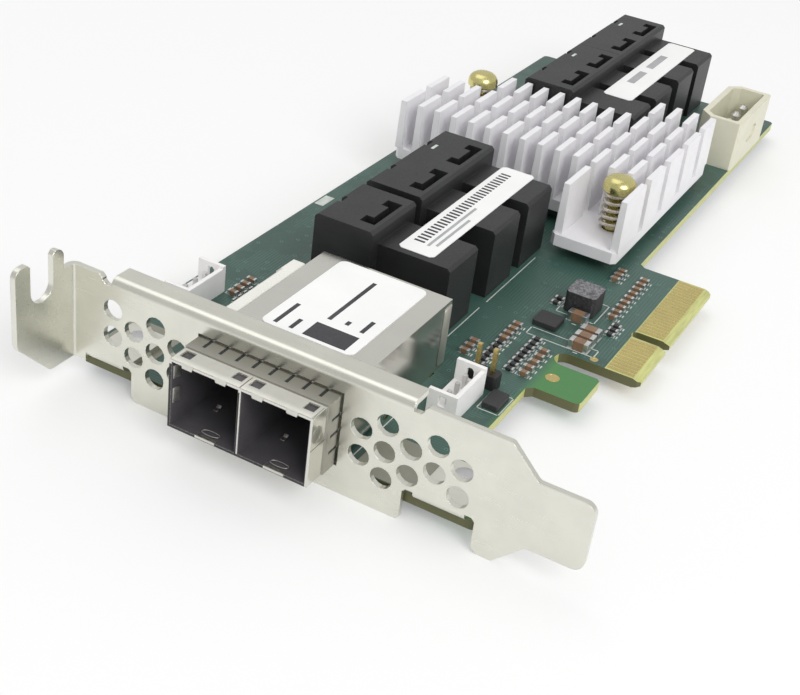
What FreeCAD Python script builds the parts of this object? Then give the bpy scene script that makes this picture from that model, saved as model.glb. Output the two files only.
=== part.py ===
"""Low-profile storage expander card: board, bracket, cable ports, heatsink and small parts.

Working axes: X runs along the bracket from the outer face of its screw tab towards the tongue,
Y runs along the card from the bracket's outer face, Z rises from the bracket's lower edge to the
component side. Every finished solid is then moved so that the origin is the middle of the
underside of the whole card. All lengths are millimetres.
"""
import FreeCAD, Part
import math
import os

V = FreeCAD.Vector

# How far a cutter runs past the face it cuts, and shares of a half width for a full round and an octagon
PAST = 1.0
FULL_ROUND = 0.98
OCTAGON_CUT = 2 - math.sqrt(2)

# Flat sides that stand for a round: vents, turned parts with their holes, and board pegs
VENT_SIDES = 16
TURNED_SIDES = 12
PEG_SIDES = 8

# Bracket sheet
SHEET = 0.86
BEND_OUTER = 1.25
BEND_INNER = BEND_OUTER - SHEET
BEND_ZONE = 2.0
SHEET_CORNER = 0.5
SHOULDER_CORNER = 0.8
BRACKET_LENGTH = 79.2
BRACKET_WIDTH = 18.42
TONGUE_WIDTH = 10.19
TONGUE_LENGTH = 7.68
TONGUE_CORNER = 1.6
SCREW_TAB_DEPTH = 11.43
SCREW_TAB_RISE = 3.4
SCREW_TAB_FOOT = 3.6
SCREW_TAB_CHAMFER = 6.4
SCREW_TAB_CORNER = 1.4
SCREW_NOTCH_WIDTH = 4.42
SCREW_NOTCH_CENTRE = 6.35
SCREW_NOTCH_FLOOR = 15.2
LIP_START = 7.3
LIP_DEPTH = 3.9
RELIEF = 1.5
RELIEF_RISE = 1.3
EAR_LEFT_END = 9.4
EAR_WIDTH = 7.4
EAR_TO_SHOULDER = 4.5
EAR_DEPTH = 10.6
EAR_HOLE_SETBACK = 6.6
VENT_FILL = 0.89
VENT_ROW_PITCH = 4.15
VENT_RISE = 0.2
VENT_LEFT_MARGIN = 7.6
VENT_CAGE_MARGIN_LEFT = 3.75
VENT_CAGE_MARGIN_RIGHT = 3.35
VENT_EAR_MARGIN = 1.3

# Circuit board
BOARD_TOP = 3.9
BOARD_THICKNESS = 1.57
BOARD_LEFT = 0.9
BOARD_FRONT = 1.2
BOARD_LENGTH = 167.65
BOARD_HEIGHT = 68.9
BOARD_WAIST = 56.5
BOARD_CORNER = 1.0
LOBE_LENGTH = 13.6
HOOK_REACH = 64.7
HOOK_START = 34.4
HOOK_LENGTH = 8.4
KEY_CENTRE = 59.0
KEY_WIDTH = 1.9
KEY_DEPTH = 6.2
FINGERS_BEFORE_KEY = 11
FINGERS_AFTER_KEY = 21
FINGER_PITCH = 1.0
FINGER_WIDTH = 0.7
FINGER_LENGTH = 4.4
FINGER_PLATING = 0.06
FINGER_MARGIN = 0.65
BEVEL_LENGTH = 1.3
BEVEL_DROP = 0.45
HOLE_CLEARANCE = 0.15
TAIL_LENGTH = 1.1

# External port cage
CAGE_LEFT = 22.15
CAGE_WIDTH = 21.72
CAGE_FLOOR = 4.6
CAGE_ROOF = 15.16
CAGE_PROUD = 6.77
CAGE_REAR = 31.25
CAGE_WALL = 0.35
CAGE_SEPTUM = 0.4
CAGE_FLOOR_LENGTH = 16.0
CAGE_WINDOW = 1.6
CAGE_WINDOW_SETBACK = 1.2
CAGE_LEG_WIDTH = 1.0
CAGE_LEGS_A_SIDE = 3
CAGE_OPENING_GAP = 0.4
GASKET = 0.15
GASKET_PROUD = 3.2
GASKET_TAIL = 1.7
GASKET_FINGER_PITCH = 2.55
GASKET_SLIT = 0.5
GASKET_BAND_SHARE = 0.22

# Pale guide rail along the cage's left flank
GUIDE_WIDTH = 2.8
GUIDE_HEIGHT = 2.4
GUIDE_DROP = 0.15
GUIDE_EDGE = 0.8
GUIDE_FRONT_GAP = 0.4
GUIDE_SETBACK = 4.95
GUIDE_FOOT_WIDTH = 3.05
GUIDE_FOOT_LENGTH = 3.4

# External port receptacles
PORT_SIDE_GAP = 0.23
PORT_FRONT = 13.0
PORT_REAR_GAP = 0.4
PORT_ROOF_GAP = 0.4
PORT_SLOT_HEIGHT = 1.6
PORT_SLOT_WIDTH = 8.2
PORT_SLOT_DEPTH = 7.0
PORT_SLOT_SPACING = 4.2

# Internal cable connectors
LINK_PITCH = 13.0
LINK_END_WALL = 0.4
LINK_LEFT = 17.5
LINK_SHROUD_DEPTH = 10.2
LINK_REACH = 40.1
LINK_UPPER = 14.5
LINK_LOWER = 11.9
LINK_WALL = 1.1
LINK_ROOF = 1.7
LINK_BODY_WIDTH = 9.6
LINK_CAVITY_DEPTH = 8.2
LINK_LATCH_LENGTH = 2.6
LINK_LATCH_SETBACK = 1.2
LINK_LATCH_WIDTH = 9.0
LINK_LATCH_TONGUE = 4.6
LINK_GUIDE_WIDTH = 2.2
LINK_SLOT_HEIGHT = 1.6
LINK_SLOT_WIDTH = 8.2
LINK_SLOT_DEPTH = 5.0
LINK_SLOT_SPACING = 4.4
LINK_PEG_DIAMETER = 1.6
LINK_PEG_LENGTH = 1.4
LINK_EDGE = 0.5
FRONT_SINGLE_START = 35.6
FRONT_DOUBLE_START = 51.4
REAR_SEAM = 0.1

# Contacts in every receptacle slot
CONTACTS_A_ROW = 9
CONTACT_SETBACK = 0.6
CONTACT_PITCH = 0.75
CONTACT_WIDTH = 0.35
CONTACT_THICKNESS = 0.25

# Heatsink and expander chip
CHIP_SIZE = 21.0
CHIP_HEIGHT = 2.2
CARRIER_SHARE = 0.45
LID_MARGIN = 1.2
LID_CORNER = 1.0
CHIP_CENTRE_X = 37.0
CHIP_SETBACK = 3.0
PAD_THICKNESS = 0.12
PAD_MARGIN = 1.5
SINK_BASE = 2.1
SINK_HEIGHT = 11.4
SINK_LEFT = 4.4
SINK_RIGHT = 54.15
SINK_STEP = 42.0
SINK_FRONT = 86.7
SINK_LINK_GAP = 0.65
SINK_WING_FRONT = 74.2
SINK_WING_REAR = 123.3
SINK_LUG_REACH = 4.4
SINK_LUG_CORNER = 1.6
SINK_CORNER = 0.8
SINK_LEDGE = 0.6
SINK_CHANNELS = 4
SINK_CHANNEL = 2.4
SINK_ROW_PITCH = 9.9
FIN_COUNT = 15
FIN_THICKNESS = 1.5
FIN_TIP_THICKNESS = 1.1
SCREW_RIGHT_X = 49.6
SCREW_RIGHT_Y = 83.2
SCREW_LEFT_X = 10.2
SCREW_LEFT_Y = 110.2
SCREW_RECESS = 6.0
SCREW_RECESS_HALF_WIDTH = 3.6
SCREW_SHANK = 2.6
SCREW_HEAD = 5.8
SCREW_HEAD_HEIGHT = 2.5
SCREW_DOME = (1.0, 0.84, 0.48)
SCREW_SPRING_SPACE = 7.4
SPRING_WIRE = 0.7
SPRING_MEAN = 4.1
SPRING_TURNS = 5
SPRING_FACETS = 8
SPRING_SIDES = 4
SPRING_GAP = 0.03
NUT_ACROSS_FLATS = 5.0
NUT_HEIGHT = 1.3

# Board power connector
POWER_LEFT = 48.0
POWER_FRONT = 133.8
POWER_DEPTH = 8.8
POWER_LENGTH = 21.8
POWER_HEIGHT = 10.1
POWER_WALL = 1.2
POWER_FLOOR = 2.4
POWER_CHAMFER = 2.2
POWER_CHAMFER_EASE = 0.6
POWER_CORNER = 0.4
POWER_PINS = 4
POWER_PIN_PITCH = 5.08
POWER_PIN_DIAMETER = 2.1
POWER_PIN_DROP = 2.6
POWER_PIN_POINT = 0.63
POWER_RECESS_LENGTH = 6.0
POWER_RECESS_HEIGHT = 3.2
POWER_RECESS_DEPTH = 0.4

# White side-band headers
HEADER_RIGHT_X = 47.6
HEADER_LEFT_X = 2.4
HEADER_FRONT = 18.6
HEADER_WIDTH = 4.6
HEADER_LENGTH = 9.4
HEADER_FLOOR = 1.2
HEADER_WALL = 0.7
HEADER_WALL_HEIGHT = 4.2
HEADER_BACK_HEIGHT = 4.6
HEADER_WINDOW_WIDTH = 1.2
HEADER_WINDOW_HEIGHT = 2.2
HEADER_PINS = 3
HEADER_PIN_PITCH = 2.5
HEADER_PIN = 0.6

# Two-pin jumper
JUMPER_X = 50.8
JUMPER_Y = 30.6
JUMPER_PITCH = 2.54
JUMPER_BASE_WIDTH = 2.4
JUMPER_BASE_HEIGHT = 2.3
JUMPER_PIN = 0.64
JUMPER_PIN_RISE = 6.4
JUMPER_CORNER = 0.4

# Surface parts
COIL_SIZE = 5.1
COIL_HEIGHT = 3.6
COIL_EDGE = 0.5
COIL_X = 54.25
COIL_Y = 61.1
REGULATOR_SIZE = 4.0
REGULATOR_HEIGHT = 0.9
CHIP_EDGE = 0.2
REGULATOR_X = 51.6
REGULATOR_Y = 53.0
SWITCH_CHIP_X = 54.6
SWITCH_CHIP_Y = 27.0
SWITCH_CHIP_LENGTH = 4.2
SWITCH_CHIP_WIDTH = 2.6
MEMORY_X = 9.0
MEMORY_Y = 62.0
MEMORY_LENGTH = 4.9
MEMORY_WIDTH = 3.9
MEMORY_HEIGHT = 1.5
MEMORY_LEADS_A_SIDE = 4
MEMORY_LEAD_PITCH = 1.27
MEMORY_LEAD_WIDTH = 0.42
MEMORY_LEAD_REACH = 1.0
MEMORY_LEAD_THICKNESS = 0.2
MEMORY_KNEE = 0.45
CRYSTAL_LENGTH = 3.2
CRYSTAL_WIDTH = 2.5
CRYSTAL_HEIGHT = 0.8
BIG_CAP = (3.2, 1.6, 1.5)
SMALL_CAP = (1.6, 0.8, 0.8)
RESISTOR = (1.6, 0.8, 0.5)
TERMINAL_SHARE = 0.22
CLOSE_STEP = 1.5
CHIP_STEP = 1.7
WIDE_STEP = 1.9
BIG_STEP = 2.3
HOOK_CLEARANCE = 2.0
NEAR_COLUMN_SHARE = 0.42
FAR_COLUMN_SHARE = 0.7
FAR_CLUSTER_GAP = 12.4

# Stick-on labels
LABEL_THICKNESS = 0.1
CAGE_LABEL_CORNER = 1.2
CAGE_LABEL_WIDTH = 14.6
CAGE_LABEL_LENGTH = 22.2
CAGE_LABEL_SETBACK = 0.6
LINK_LABEL_WIDTH = 6.1
LINK_LABEL_CORNER = 0.6
LINK_LABEL_INSET = 2.6
FRONT_LABEL_START = 39.0
FRONT_LABEL_LENGTH = 38.2
REAR_LABEL_LENGTH = 40.6
REAR_LABEL_END_GAP = 3.0

# Heights and places that follow from the sizes above
BOARD_UNDERSIDE = BOARD_TOP - BOARD_THICKNESS
FINGER_TIP = BOARD_LEFT + BOARD_HEIGHT
SEGMENT_BEFORE = FINGERS_BEFORE_KEY * FINGER_PITCH + FINGER_MARGIN
SEGMENT_AFTER = FINGERS_AFTER_KEY * FINGER_PITCH + FINGER_MARGIN
FINGER_BLOCK_START = KEY_CENTRE - KEY_WIDTH / 2 - SEGMENT_BEFORE
FINGER_BLOCK_END = KEY_CENTRE + KEY_WIDTH / 2 + SEGMENT_AFTER
SLOT_START = HOOK_START + HOOK_LENGTH
TONGUE_LOW = (BRACKET_WIDTH - TONGUE_WIDTH) / 2
TONGUE_ROOT = BRACKET_LENGTH - TONGUE_LENGTH
SHOULDER = TONGUE_ROOT - TONGUE_LOW
EAR_RIGHT_END = SHOULDER - EAR_TO_SHOULDER
EAR_RIGHT_START = EAR_RIGHT_END - EAR_WIDTH
LIP_END = EAR_RIGHT_START - RELIEF
LOBE_REACH = EAR_RIGHT_END + RELIEF
FOLD_END = SHEET + BEND_ZONE
EAR_TOP = BOARD_TOP + SHEET
EAR_LEFT_X = (FOLD_END + EAR_LEFT_END) / 2
EAR_RIGHT_X = (EAR_RIGHT_START + EAR_RIGHT_END) / 2
EAR_HOLE_Y = BOARD_FRONT + EAR_HOLE_SETBACK
BRACKET_SCREW_SHANK = 2.9
BRACKET_SCREW_HEAD = 5.0
BRACKET_SCREW_HEAD_HEIGHT = 1.5
BRACKET_SCREW_CROWN = 4.0
CAGE_RIGHT = CAGE_LEFT + CAGE_WIDTH
CAGE_MIDDLE = CAGE_LEFT + CAGE_WIDTH / 2
BAY_WIDTH = (CAGE_WIDTH - 2 * CAGE_WALL - CAGE_SEPTUM) / 2
LINK_SHROUD_END = LINK_LEFT + LINK_SHROUD_DEPTH
LINK_TOP = BOARD_TOP + LINK_UPPER
LINK_STEP_TOP = BOARD_TOP + LINK_LOWER
DOUBLE_LENGTH = 2 * LINK_PITCH + 2 * LINK_END_WALL
REAR_FAR_START = BOARD_LENGTH - DOUBLE_LENGTH
REAR_START = REAR_FAR_START - REAR_SEAM - DOUBLE_LENGTH
SINK_REAR = REAR_START - SINK_LINK_GAP
CHIP_CENTRE_Y = SINK_REAR - CHIP_SETBACK - CHIP_SIZE / 2
SINK_UNDERSIDE = BOARD_TOP + CHIP_HEIGHT + PAD_THICKNESS
SINK_BASE_TOP = SINK_UNDERSIDE + SINK_BASE
SINK_TOP = SINK_UNDERSIDE + SINK_HEIGHT
SCREW_SEAT = SINK_BASE_TOP + SCREW_SPRING_SPACE
POWER_CENTRE_X = POWER_LEFT + POWER_DEPTH / 2
POWER_CENTRE_Y = POWER_FRONT + POWER_LENGTH / 2
POWER_TOP = BOARD_TOP + POWER_HEIGHT
CARD_MIDDLE_X = BRACKET_LENGTH / 2
CARD_MIDDLE_Y = (BOARD_LENGTH - SCREW_TAB_DEPTH) / 2

# The nodes are collected here and written out at the end.
nodes = {}


def box(x0, y0, z0, x1, y1, z1):
    """A block between two opposite corners."""
    return Part.makeBox(x1 - x0, y1 - y0, z1 - z0, V(x0, y0, z0))


def ring_of_points(a, b, radius, count):
    """Corners of a regular polygon, sharp, as an outline takes them."""
    angles = [2 * math.pi * k / count for k in range(count)]
    return [(a + radius * math.cos(t), b + radius * math.sin(t), 0) for t in angles]


def outline(corners, place):
    """A face from corners (a, b, radius), which are cut off where the radius is negative."""
    count = len(corners)
    entries = []
    for i, (a, b, radius) in enumerate(corners):
        here = V(a, b, 0)
        before = V(corners[i - 1][0], corners[i - 1][1], 0) - here
        after = V(corners[(i + 1) % count][0], corners[(i + 1) % count][1], 0) - here
        if radius == 0:
            entries.append((here, None, here))
            continue
        before.normalize()
        after.normalize()
        if radius < 0:
            entries.append((here - before * radius, None, here - after * radius))
            continue
        half = before.getAngle(after) / 2
        reach = radius / math.tan(half)
        middle = before + after
        middle.normalize()
        centre = here + middle * (radius / math.sin(half))
        entries.append((here + before * reach, centre - middle * radius, here + after * reach))
    edges = []
    for i, (start, bulge, end) in enumerate(entries):
        if bulge is not None:
            arc = [place(p.x, p.y) for p in (start, bulge, end)]
            edges.append(Part.Arc(*arc).toShape())
        elif start.distanceToPoint(end) > 1e-6:
            edges.append(Part.LineSegment(place(start.x, start.y), place(end.x, end.y)).toShape())
        following = entries[(i + 1) % count][0]
        if end.distanceToPoint(following) > 1e-6:
            edges.append(Part.LineSegment(place(end.x, end.y), place(following.x, following.y)).toShape())
    return Part.Face(Part.Wire(edges))


def prism_z(corners, z0, z1):
    """A plan outline (x, y, radius) raised from z0 to z1."""
    return outline(corners, lambda x, y: V(x, y, z0)).extrude(V(0, 0, z1 - z0))


def post(x, y, diameter, z0, z1, sides=TURNED_SIDES):
    """An upright round with flat sides."""
    return prism_z(ring_of_points(x, y, diameter / 2, sides), z0, z1)


def skinned(rings):
    """A solid with flat facets between rings that have the same number of points."""
    def flat(*points):
        return Part.Face(Part.makePolygon(points + points[:1]))

    faces = [flat(*rings[0]), flat(*rings[-1])]
    for low, high in zip(rings, rings[1:]):
        for k in range(len(low)):
            faces.append(flat(low[k - 1], low[k], high[k]))
            faces.append(flat(low[k - 1], high[k], high[k - 1]))
    solid = Part.Solid(Part.Shell(faces))
    return solid if solid.Volume > 0 else solid.reversed()


def tapered(x, y, low, high, z0, z1):
    """An upright round that goes from one diameter at its foot to another at its top."""
    rings = []
    for diameter, z in ((low, z0), (high, z1)):
        rings.append([V(a, b, z) for a, b, _ in ring_of_points(x, y, diameter / 2, TURNED_SIDES)])
    return skinned(rings)


def prism_y(corners, y0, y1):
    """A front outline (x, z, radius) carried from y0 to y1."""
    return outline(corners, lambda x, z: V(x, y0, z)).extrude(V(0, y1 - y0, 0))


def prism_x(corners, x0, x1):
    """A side outline (y, z, radius) carried from x0 to x1."""
    return outline(corners, lambda y, z: V(x0, y, z)).extrude(V(x1 - x0, 0, 0))


def plate(x0, y0, x1, y1, z0, z1, corner):
    """A flat rectangle with rounded corners, or with corners cut off where the radius is negative."""
    return prism_z([(x0, y0, corner), (x1, y0, corner), (x1, y1, corner), (x0, y1, corner)], z0, z1)


def joined(shapes):
    """One solid from pieces that share faces."""
    whole = shapes[0].multiFuse(shapes[1:]) if len(shapes) > 1 else shapes[0]
    return whole.removeSplitter()


def drilled(solid, cutters):
    """A solid with every cutter taken out of it."""
    return solid.cut(cutters).removeSplitter() if cutters else solid


def bracket_screw_places():
    return [(EAR_LEFT_X, EAR_HOLE_Y), (EAR_RIGHT_X, EAR_HOLE_Y)]


def spring_screw_places():
    return {"left": (SCREW_LEFT_X, SCREW_LEFT_Y), "right": (SCREW_RIGHT_X, SCREW_RIGHT_Y)}


def power_pin_places():
    first = POWER_CENTRE_Y - (POWER_PINS - 1) * POWER_PIN_PITCH / 2
    return [(POWER_CENTRE_X, first + i * POWER_PIN_PITCH) for i in range(POWER_PINS)]


def header_pin_places(left):
    middle = HEADER_FRONT + HEADER_LENGTH / 2
    first = middle - (HEADER_PINS - 1) * HEADER_PIN_PITCH / 2
    return [(left + HEADER_WIDTH / 2, first + i * HEADER_PIN_PITCH) for i in range(HEADER_PINS)]


def jumper_pin_places():
    return [(JUMPER_X - JUMPER_PITCH / 2, JUMPER_Y), (JUMPER_X + JUMPER_PITCH / 2, JUMPER_Y)]


def cage_leg_places():
    """Legs of the two side walls, spread evenly behind the bracket."""
    span = CAGE_REAR - EAR_DEPTH
    rows = [EAR_DEPTH + span * (i + 0.5) / CAGE_LEGS_A_SIDE for i in range(CAGE_LEGS_A_SIDE)]
    return [(x, y) for x in (CAGE_LEFT + CAGE_WALL / 2, CAGE_RIGHT - CAGE_WALL / 2) for y in rows]


def link_groups():
    """Internal connectors: first edge along the card and number of ports."""
    return {
        "front_single": (FRONT_SINGLE_START, 1),
        "front_double": (FRONT_DOUBLE_START, 2),
        "rear_near": (REAR_START, 2),
        "rear_far": (REAR_FAR_START, 2),
    }


def link_port_middles(start, ports):
    return [start + LINK_END_WALL + (i + 0.5) * LINK_PITCH for i in range(ports)]


def link_peg_places(start, ports):
    """Board pegs under the rear block of the first and last port."""
    middles = link_port_middles(start, ports)
    x_near = LINK_SHROUD_END + LINK_PEG_DIAMETER
    x_far = LINK_REACH - LINK_PEG_DIAMETER
    return [(x_near, middles[0]), (x_far, middles[-1])]


def vent_places():
    """Holes of a triangular grid on both sides of the port cage: middle and diameter."""
    left = [(0, 2), (-1, 1), (-2, 0, 2), (-1, 1)]
    right = [(-1, 1), (-2, 0, 2), (-1, 1), (0, 2), (-1, 1)]
    spans = [
        (left, VENT_LEFT_MARGIN, CAGE_LEFT - VENT_CAGE_MARGIN_LEFT),
        (right, CAGE_RIGHT + VENT_CAGE_MARGIN_RIGHT, EAR_RIGHT_END - VENT_EAR_MARGIN),
    ]
    middle = BRACKET_WIDTH / 2 + VENT_RISE
    places = []
    for columns, first, last in spans:
        pitch = (last - first) / (len(columns) - 1)
        diameter = VENT_FILL * min(pitch, VENT_ROW_PITCH * math.sqrt(3) / 2)
        for i, rows in enumerate(columns):
            places += [(first + i * pitch, middle + row * VENT_ROW_PITCH / 2, diameter) for row in rows]
    return places


def make_bracket():
    """The folded sheet: plate, tongue, screw tab, stiffening lip and two board ears."""
    ear_root = EAR_TOP + BEND_ZONE
    lip_root = BRACKET_WIDTH - BEND_ZONE
    relief_top = EAR_TOP + RELIEF_RISE / 3
    crown_relief = BRACKET_WIDTH - RELIEF_RISE
    face = [
        (FOLD_END, ear_root, 0),
        (EAR_LEFT_END, ear_root, 0),
        (EAR_LEFT_END, relief_top, 0),
        (EAR_LEFT_END + RELIEF, relief_top, -SHEET_CORNER),
        (EAR_LEFT_END + RELIEF, 0, BEND_OUTER),
        (EAR_RIGHT_START - RELIEF, 0, -SHEET_CORNER),
        (EAR_RIGHT_START - RELIEF, relief_top, -SHEET_CORNER),
        (EAR_RIGHT_START, relief_top, 0),
        (EAR_RIGHT_START, ear_root, 0),
        (EAR_RIGHT_END, ear_root, 0),
        (EAR_RIGHT_END, relief_top, 0),
        (EAR_RIGHT_END + RELIEF, relief_top, -SHEET_CORNER),
        (EAR_RIGHT_END + RELIEF, 0, BEND_OUTER),
        (SHOULDER, 0, SHOULDER_CORNER),
        (TONGUE_ROOT, TONGUE_LOW, SHOULDER_CORNER),
        (BRACKET_LENGTH, TONGUE_LOW, TONGUE_CORNER),
        (BRACKET_LENGTH, BRACKET_WIDTH - TONGUE_LOW, TONGUE_CORNER),
        (TONGUE_ROOT, BRACKET_WIDTH - TONGUE_LOW, SHOULDER_CORNER),
        (SHOULDER, BRACKET_WIDTH, SHOULDER_CORNER),
        (LIP_END + RELIEF, BRACKET_WIDTH, -SHEET_CORNER),
        (LIP_END + RELIEF, crown_relief, -SHEET_CORNER),
        (LIP_END, crown_relief, 0),
        (LIP_END, lip_root, 0),
        (LIP_START, lip_root, 0),
        (LIP_START, crown_relief, 0),
        (LIP_START - RELIEF, crown_relief, -SHEET_CORNER),
        (LIP_START - RELIEF, BRACKET_WIDTH, -SHEET_CORNER),
        (FOLD_END, BRACKET_WIDTH, 0),
    ]
    sheet = prism_y(face, 0, SHEET)

    fold = prism_z([
        (0, -BEND_ZONE, 0),
        (SHEET, -BEND_ZONE, 0),
        (SHEET, 0, BEND_INNER),
        (FOLD_END, 0, 0),
        (FOLD_END, SHEET, 0),
        (0, SHEET, BEND_OUTER),
    ], SCREW_TAB_FOOT, BRACKET_WIDTH)

    tab_top = BRACKET_WIDTH + SCREW_TAB_RISE
    notch_half = SCREW_NOTCH_WIDTH / 2
    notch_near = -SCREW_NOTCH_CENTRE + notch_half
    notch_far = -SCREW_NOTCH_CENTRE - notch_half
    tab = prism_x([
        (-BEND_ZONE, SCREW_TAB_FOOT, 0),
        (-BEND_ZONE, tab_top, SCREW_TAB_CORNER),
        (notch_near, tab_top, -SHEET_CORNER),
        (notch_near, SCREW_NOTCH_FLOOR, notch_half * FULL_ROUND),
        (notch_far, SCREW_NOTCH_FLOOR, notch_half * FULL_ROUND),
        (notch_far, tab_top, -SHEET_CORNER),
        (-SCREW_TAB_DEPTH, tab_top, SCREW_TAB_CORNER),
        (-SCREW_TAB_DEPTH, SCREW_TAB_FOOT + SCREW_TAB_CHAMFER, SCREW_TAB_CORNER),
        (-SCREW_TAB_DEPTH + SCREW_TAB_CHAMFER, SCREW_TAB_FOOT, SCREW_TAB_CORNER),
    ], 0, SHEET)

    lip = prism_x([
        (0, lip_root, 0),
        (SHEET, lip_root, 0),
        (SHEET, BRACKET_WIDTH - SHEET, BEND_INNER),
        (LIP_DEPTH, BRACKET_WIDTH - SHEET, 0),
        (LIP_DEPTH, BRACKET_WIDTH, 0),
        (0, BRACKET_WIDTH, BEND_OUTER),
    ], LIP_START, LIP_END)

    def ear(x0, x1):
        return prism_x([
            (0, ear_root, 0),
            (0, BOARD_TOP, BEND_OUTER),
            (EAR_DEPTH, BOARD_TOP, 0),
            (EAR_DEPTH, EAR_TOP, 0),
            (SHEET, EAR_TOP, BEND_INNER),
            (SHEET, ear_root, 0),
        ], x0, x1)

    ears = [ear(FOLD_END, EAR_LEFT_END), ear(EAR_RIGHT_START, EAR_RIGHT_END)]
    whole = joined([sheet, fold, tab, lip] + ears)
    holes = []
    for x, z, diameter in vent_places():
        holes.append(prism_y(ring_of_points(x, z, diameter / 2, VENT_SIDES), -SHEET, 2 * SHEET))
    gap = CAGE_OPENING_GAP
    holes.append(box(CAGE_LEFT - gap, -SHEET, CAGE_FLOOR - gap,
                     CAGE_RIGHT + gap, 2 * SHEET, CAGE_ROOF + gap))
    for x, y in bracket_screw_places():
        holes.append(post(x, y, BRACKET_SCREW_SHANK + HOLE_CLEARANCE, BOARD_TOP - SHEET, EAR_TOP + SHEET))
    nodes["bracket"] = drilled(whole, holes)


def make_circuit_board():
    """The board's plan, with the bracket lobe, the retention hook, the key notch and the bevelled tip."""
    slot_radius = (FINGER_BLOCK_START - SLOT_START) / 2 * FULL_ROUND
    key_near = KEY_CENTRE - KEY_WIDTH / 2
    key_far = KEY_CENTRE + KEY_WIDTH / 2
    key_radius = KEY_WIDTH / 2 * FULL_ROUND
    lobe_end = BOARD_FRONT + LOBE_LENGTH
    plan = [
        (BOARD_LEFT, BOARD_FRONT, -BOARD_CORNER),
        (LOBE_REACH, BOARD_FRONT, BOARD_CORNER),
        (LOBE_REACH, lobe_end, BOARD_CORNER),
        (BOARD_WAIST, lobe_end, -BOARD_CORNER),
        (BOARD_WAIST, HOOK_START, -BOARD_CORNER),
        (HOOK_REACH, HOOK_START, BOARD_CORNER),
        (HOOK_REACH, SLOT_START, -BOARD_CORNER / 2),
        (BOARD_WAIST, SLOT_START, slot_radius),
        (BOARD_WAIST, FINGER_BLOCK_START, slot_radius),
        (FINGER_TIP, FINGER_BLOCK_START, -BOARD_CORNER / 2),
        (FINGER_TIP, key_near, 0),
        (FINGER_TIP - KEY_DEPTH, key_near, key_radius),
        (FINGER_TIP - KEY_DEPTH, key_far, key_radius),
        (FINGER_TIP, key_far, 0),
        (FINGER_TIP, FINGER_BLOCK_END, -BOARD_CORNER / 2),
        (BOARD_WAIST, FINGER_BLOCK_END, -BOARD_CORNER),
        (BOARD_WAIST, BOARD_LENGTH, BOARD_CORNER),
        (BOARD_LEFT, BOARD_LENGTH, BOARD_CORNER),
    ]
    board = prism_z(plan, BOARD_UNDERSIDE, BOARD_TOP)

    cutters = []
    low, high = BOARD_UNDERSIDE - PAST, BOARD_TOP + PAST
    bevel_start = FINGER_TIP - BEVEL_LENGTH
    wedge_start = FINGER_BLOCK_START - PAST
    wedge_run = FINGER_BLOCK_END - FINGER_BLOCK_START + 2 * PAST
    for face, drop in ((BOARD_TOP, -BEVEL_DROP), (BOARD_UNDERSIDE, BEVEL_DROP)):
        wedge = Part.makePolygon([
            V(bevel_start, wedge_start, face),
            V(FINGER_TIP + PAST, wedge_start, face),
            V(FINGER_TIP + PAST, wedge_start, face + drop * (BEVEL_LENGTH + PAST) / BEVEL_LENGTH),
            V(bevel_start, wedge_start, face),
        ])
        cutters.append(Part.Face(wedge).extrude(V(0, wedge_run, 0)))

    def hole(x, y, diameter, sides=TURNED_SIDES):
        cutters.append(post(x, y, diameter + 2 * HOLE_CLEARANCE, low, high, sides))

    def slot(x, y, width, length):
        reach_x = width / 2 + HOLE_CLEARANCE
        reach_y = length / 2 + HOLE_CLEARANCE
        cutters.append(box(x - reach_x, y - reach_y, low, x + reach_x, y + reach_y, high))

    for x, y in bracket_screw_places():
        hole(x, y, BRACKET_SCREW_SHANK)
    for x, y in spring_screw_places().values():
        hole(x, y, SCREW_SHANK)
    for x, y in power_pin_places():
        hole(x, y, POWER_PIN_DIAMETER)
    for x, y in header_pin_places(HEADER_LEFT_X) + header_pin_places(HEADER_RIGHT_X):
        slot(x, y, HEADER_PIN, HEADER_PIN)
    for x, y in jumper_pin_places():
        slot(x, y, JUMPER_PIN, JUMPER_PIN)
    for x, y in cage_leg_places():
        slot(x, y, CAGE_WALL, CAGE_LEG_WIDTH)
    for start, ports in link_groups().values():
        for x, y in link_peg_places(start, ports):
            hole(x, y, LINK_PEG_DIAMETER, PEG_SIDES)
    nodes["circuit_board"] = drilled(board, cutters)


def make_edge_contacts():
    """Plated contact pads on both faces of the edge connector, either side of the key."""
    near_first = KEY_CENTRE - KEY_WIDTH / 2 - FINGER_MARGIN / 2 - (FINGERS_BEFORE_KEY - 0.5) * FINGER_PITCH
    far_first = KEY_CENTRE + KEY_WIDTH / 2 + FINGER_MARGIN / 2 + 0.5 * FINGER_PITCH
    middles = [near_first + i * FINGER_PITCH for i in range(FINGERS_BEFORE_KEY)]
    middles += [far_first + i * FINGER_PITCH for i in range(FINGERS_AFTER_KEY)]
    x1 = FINGER_TIP - BEVEL_LENGTH
    x0 = x1 - FINGER_LENGTH
    half = FINGER_WIDTH / 2
    top = [box(x0, y - half, BOARD_TOP, x1, y + half, BOARD_TOP + FINGER_PLATING) for y in middles]
    foot = BOARD_UNDERSIDE - FINGER_PLATING
    under = [box(x0, y - half, foot, x1, y + half, BOARD_UNDERSIDE) for y in middles]
    nodes["edge_contacts_top"] = Part.makeCompound(top)
    nodes["edge_contacts_underside"] = Part.makeCompound(under)


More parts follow.
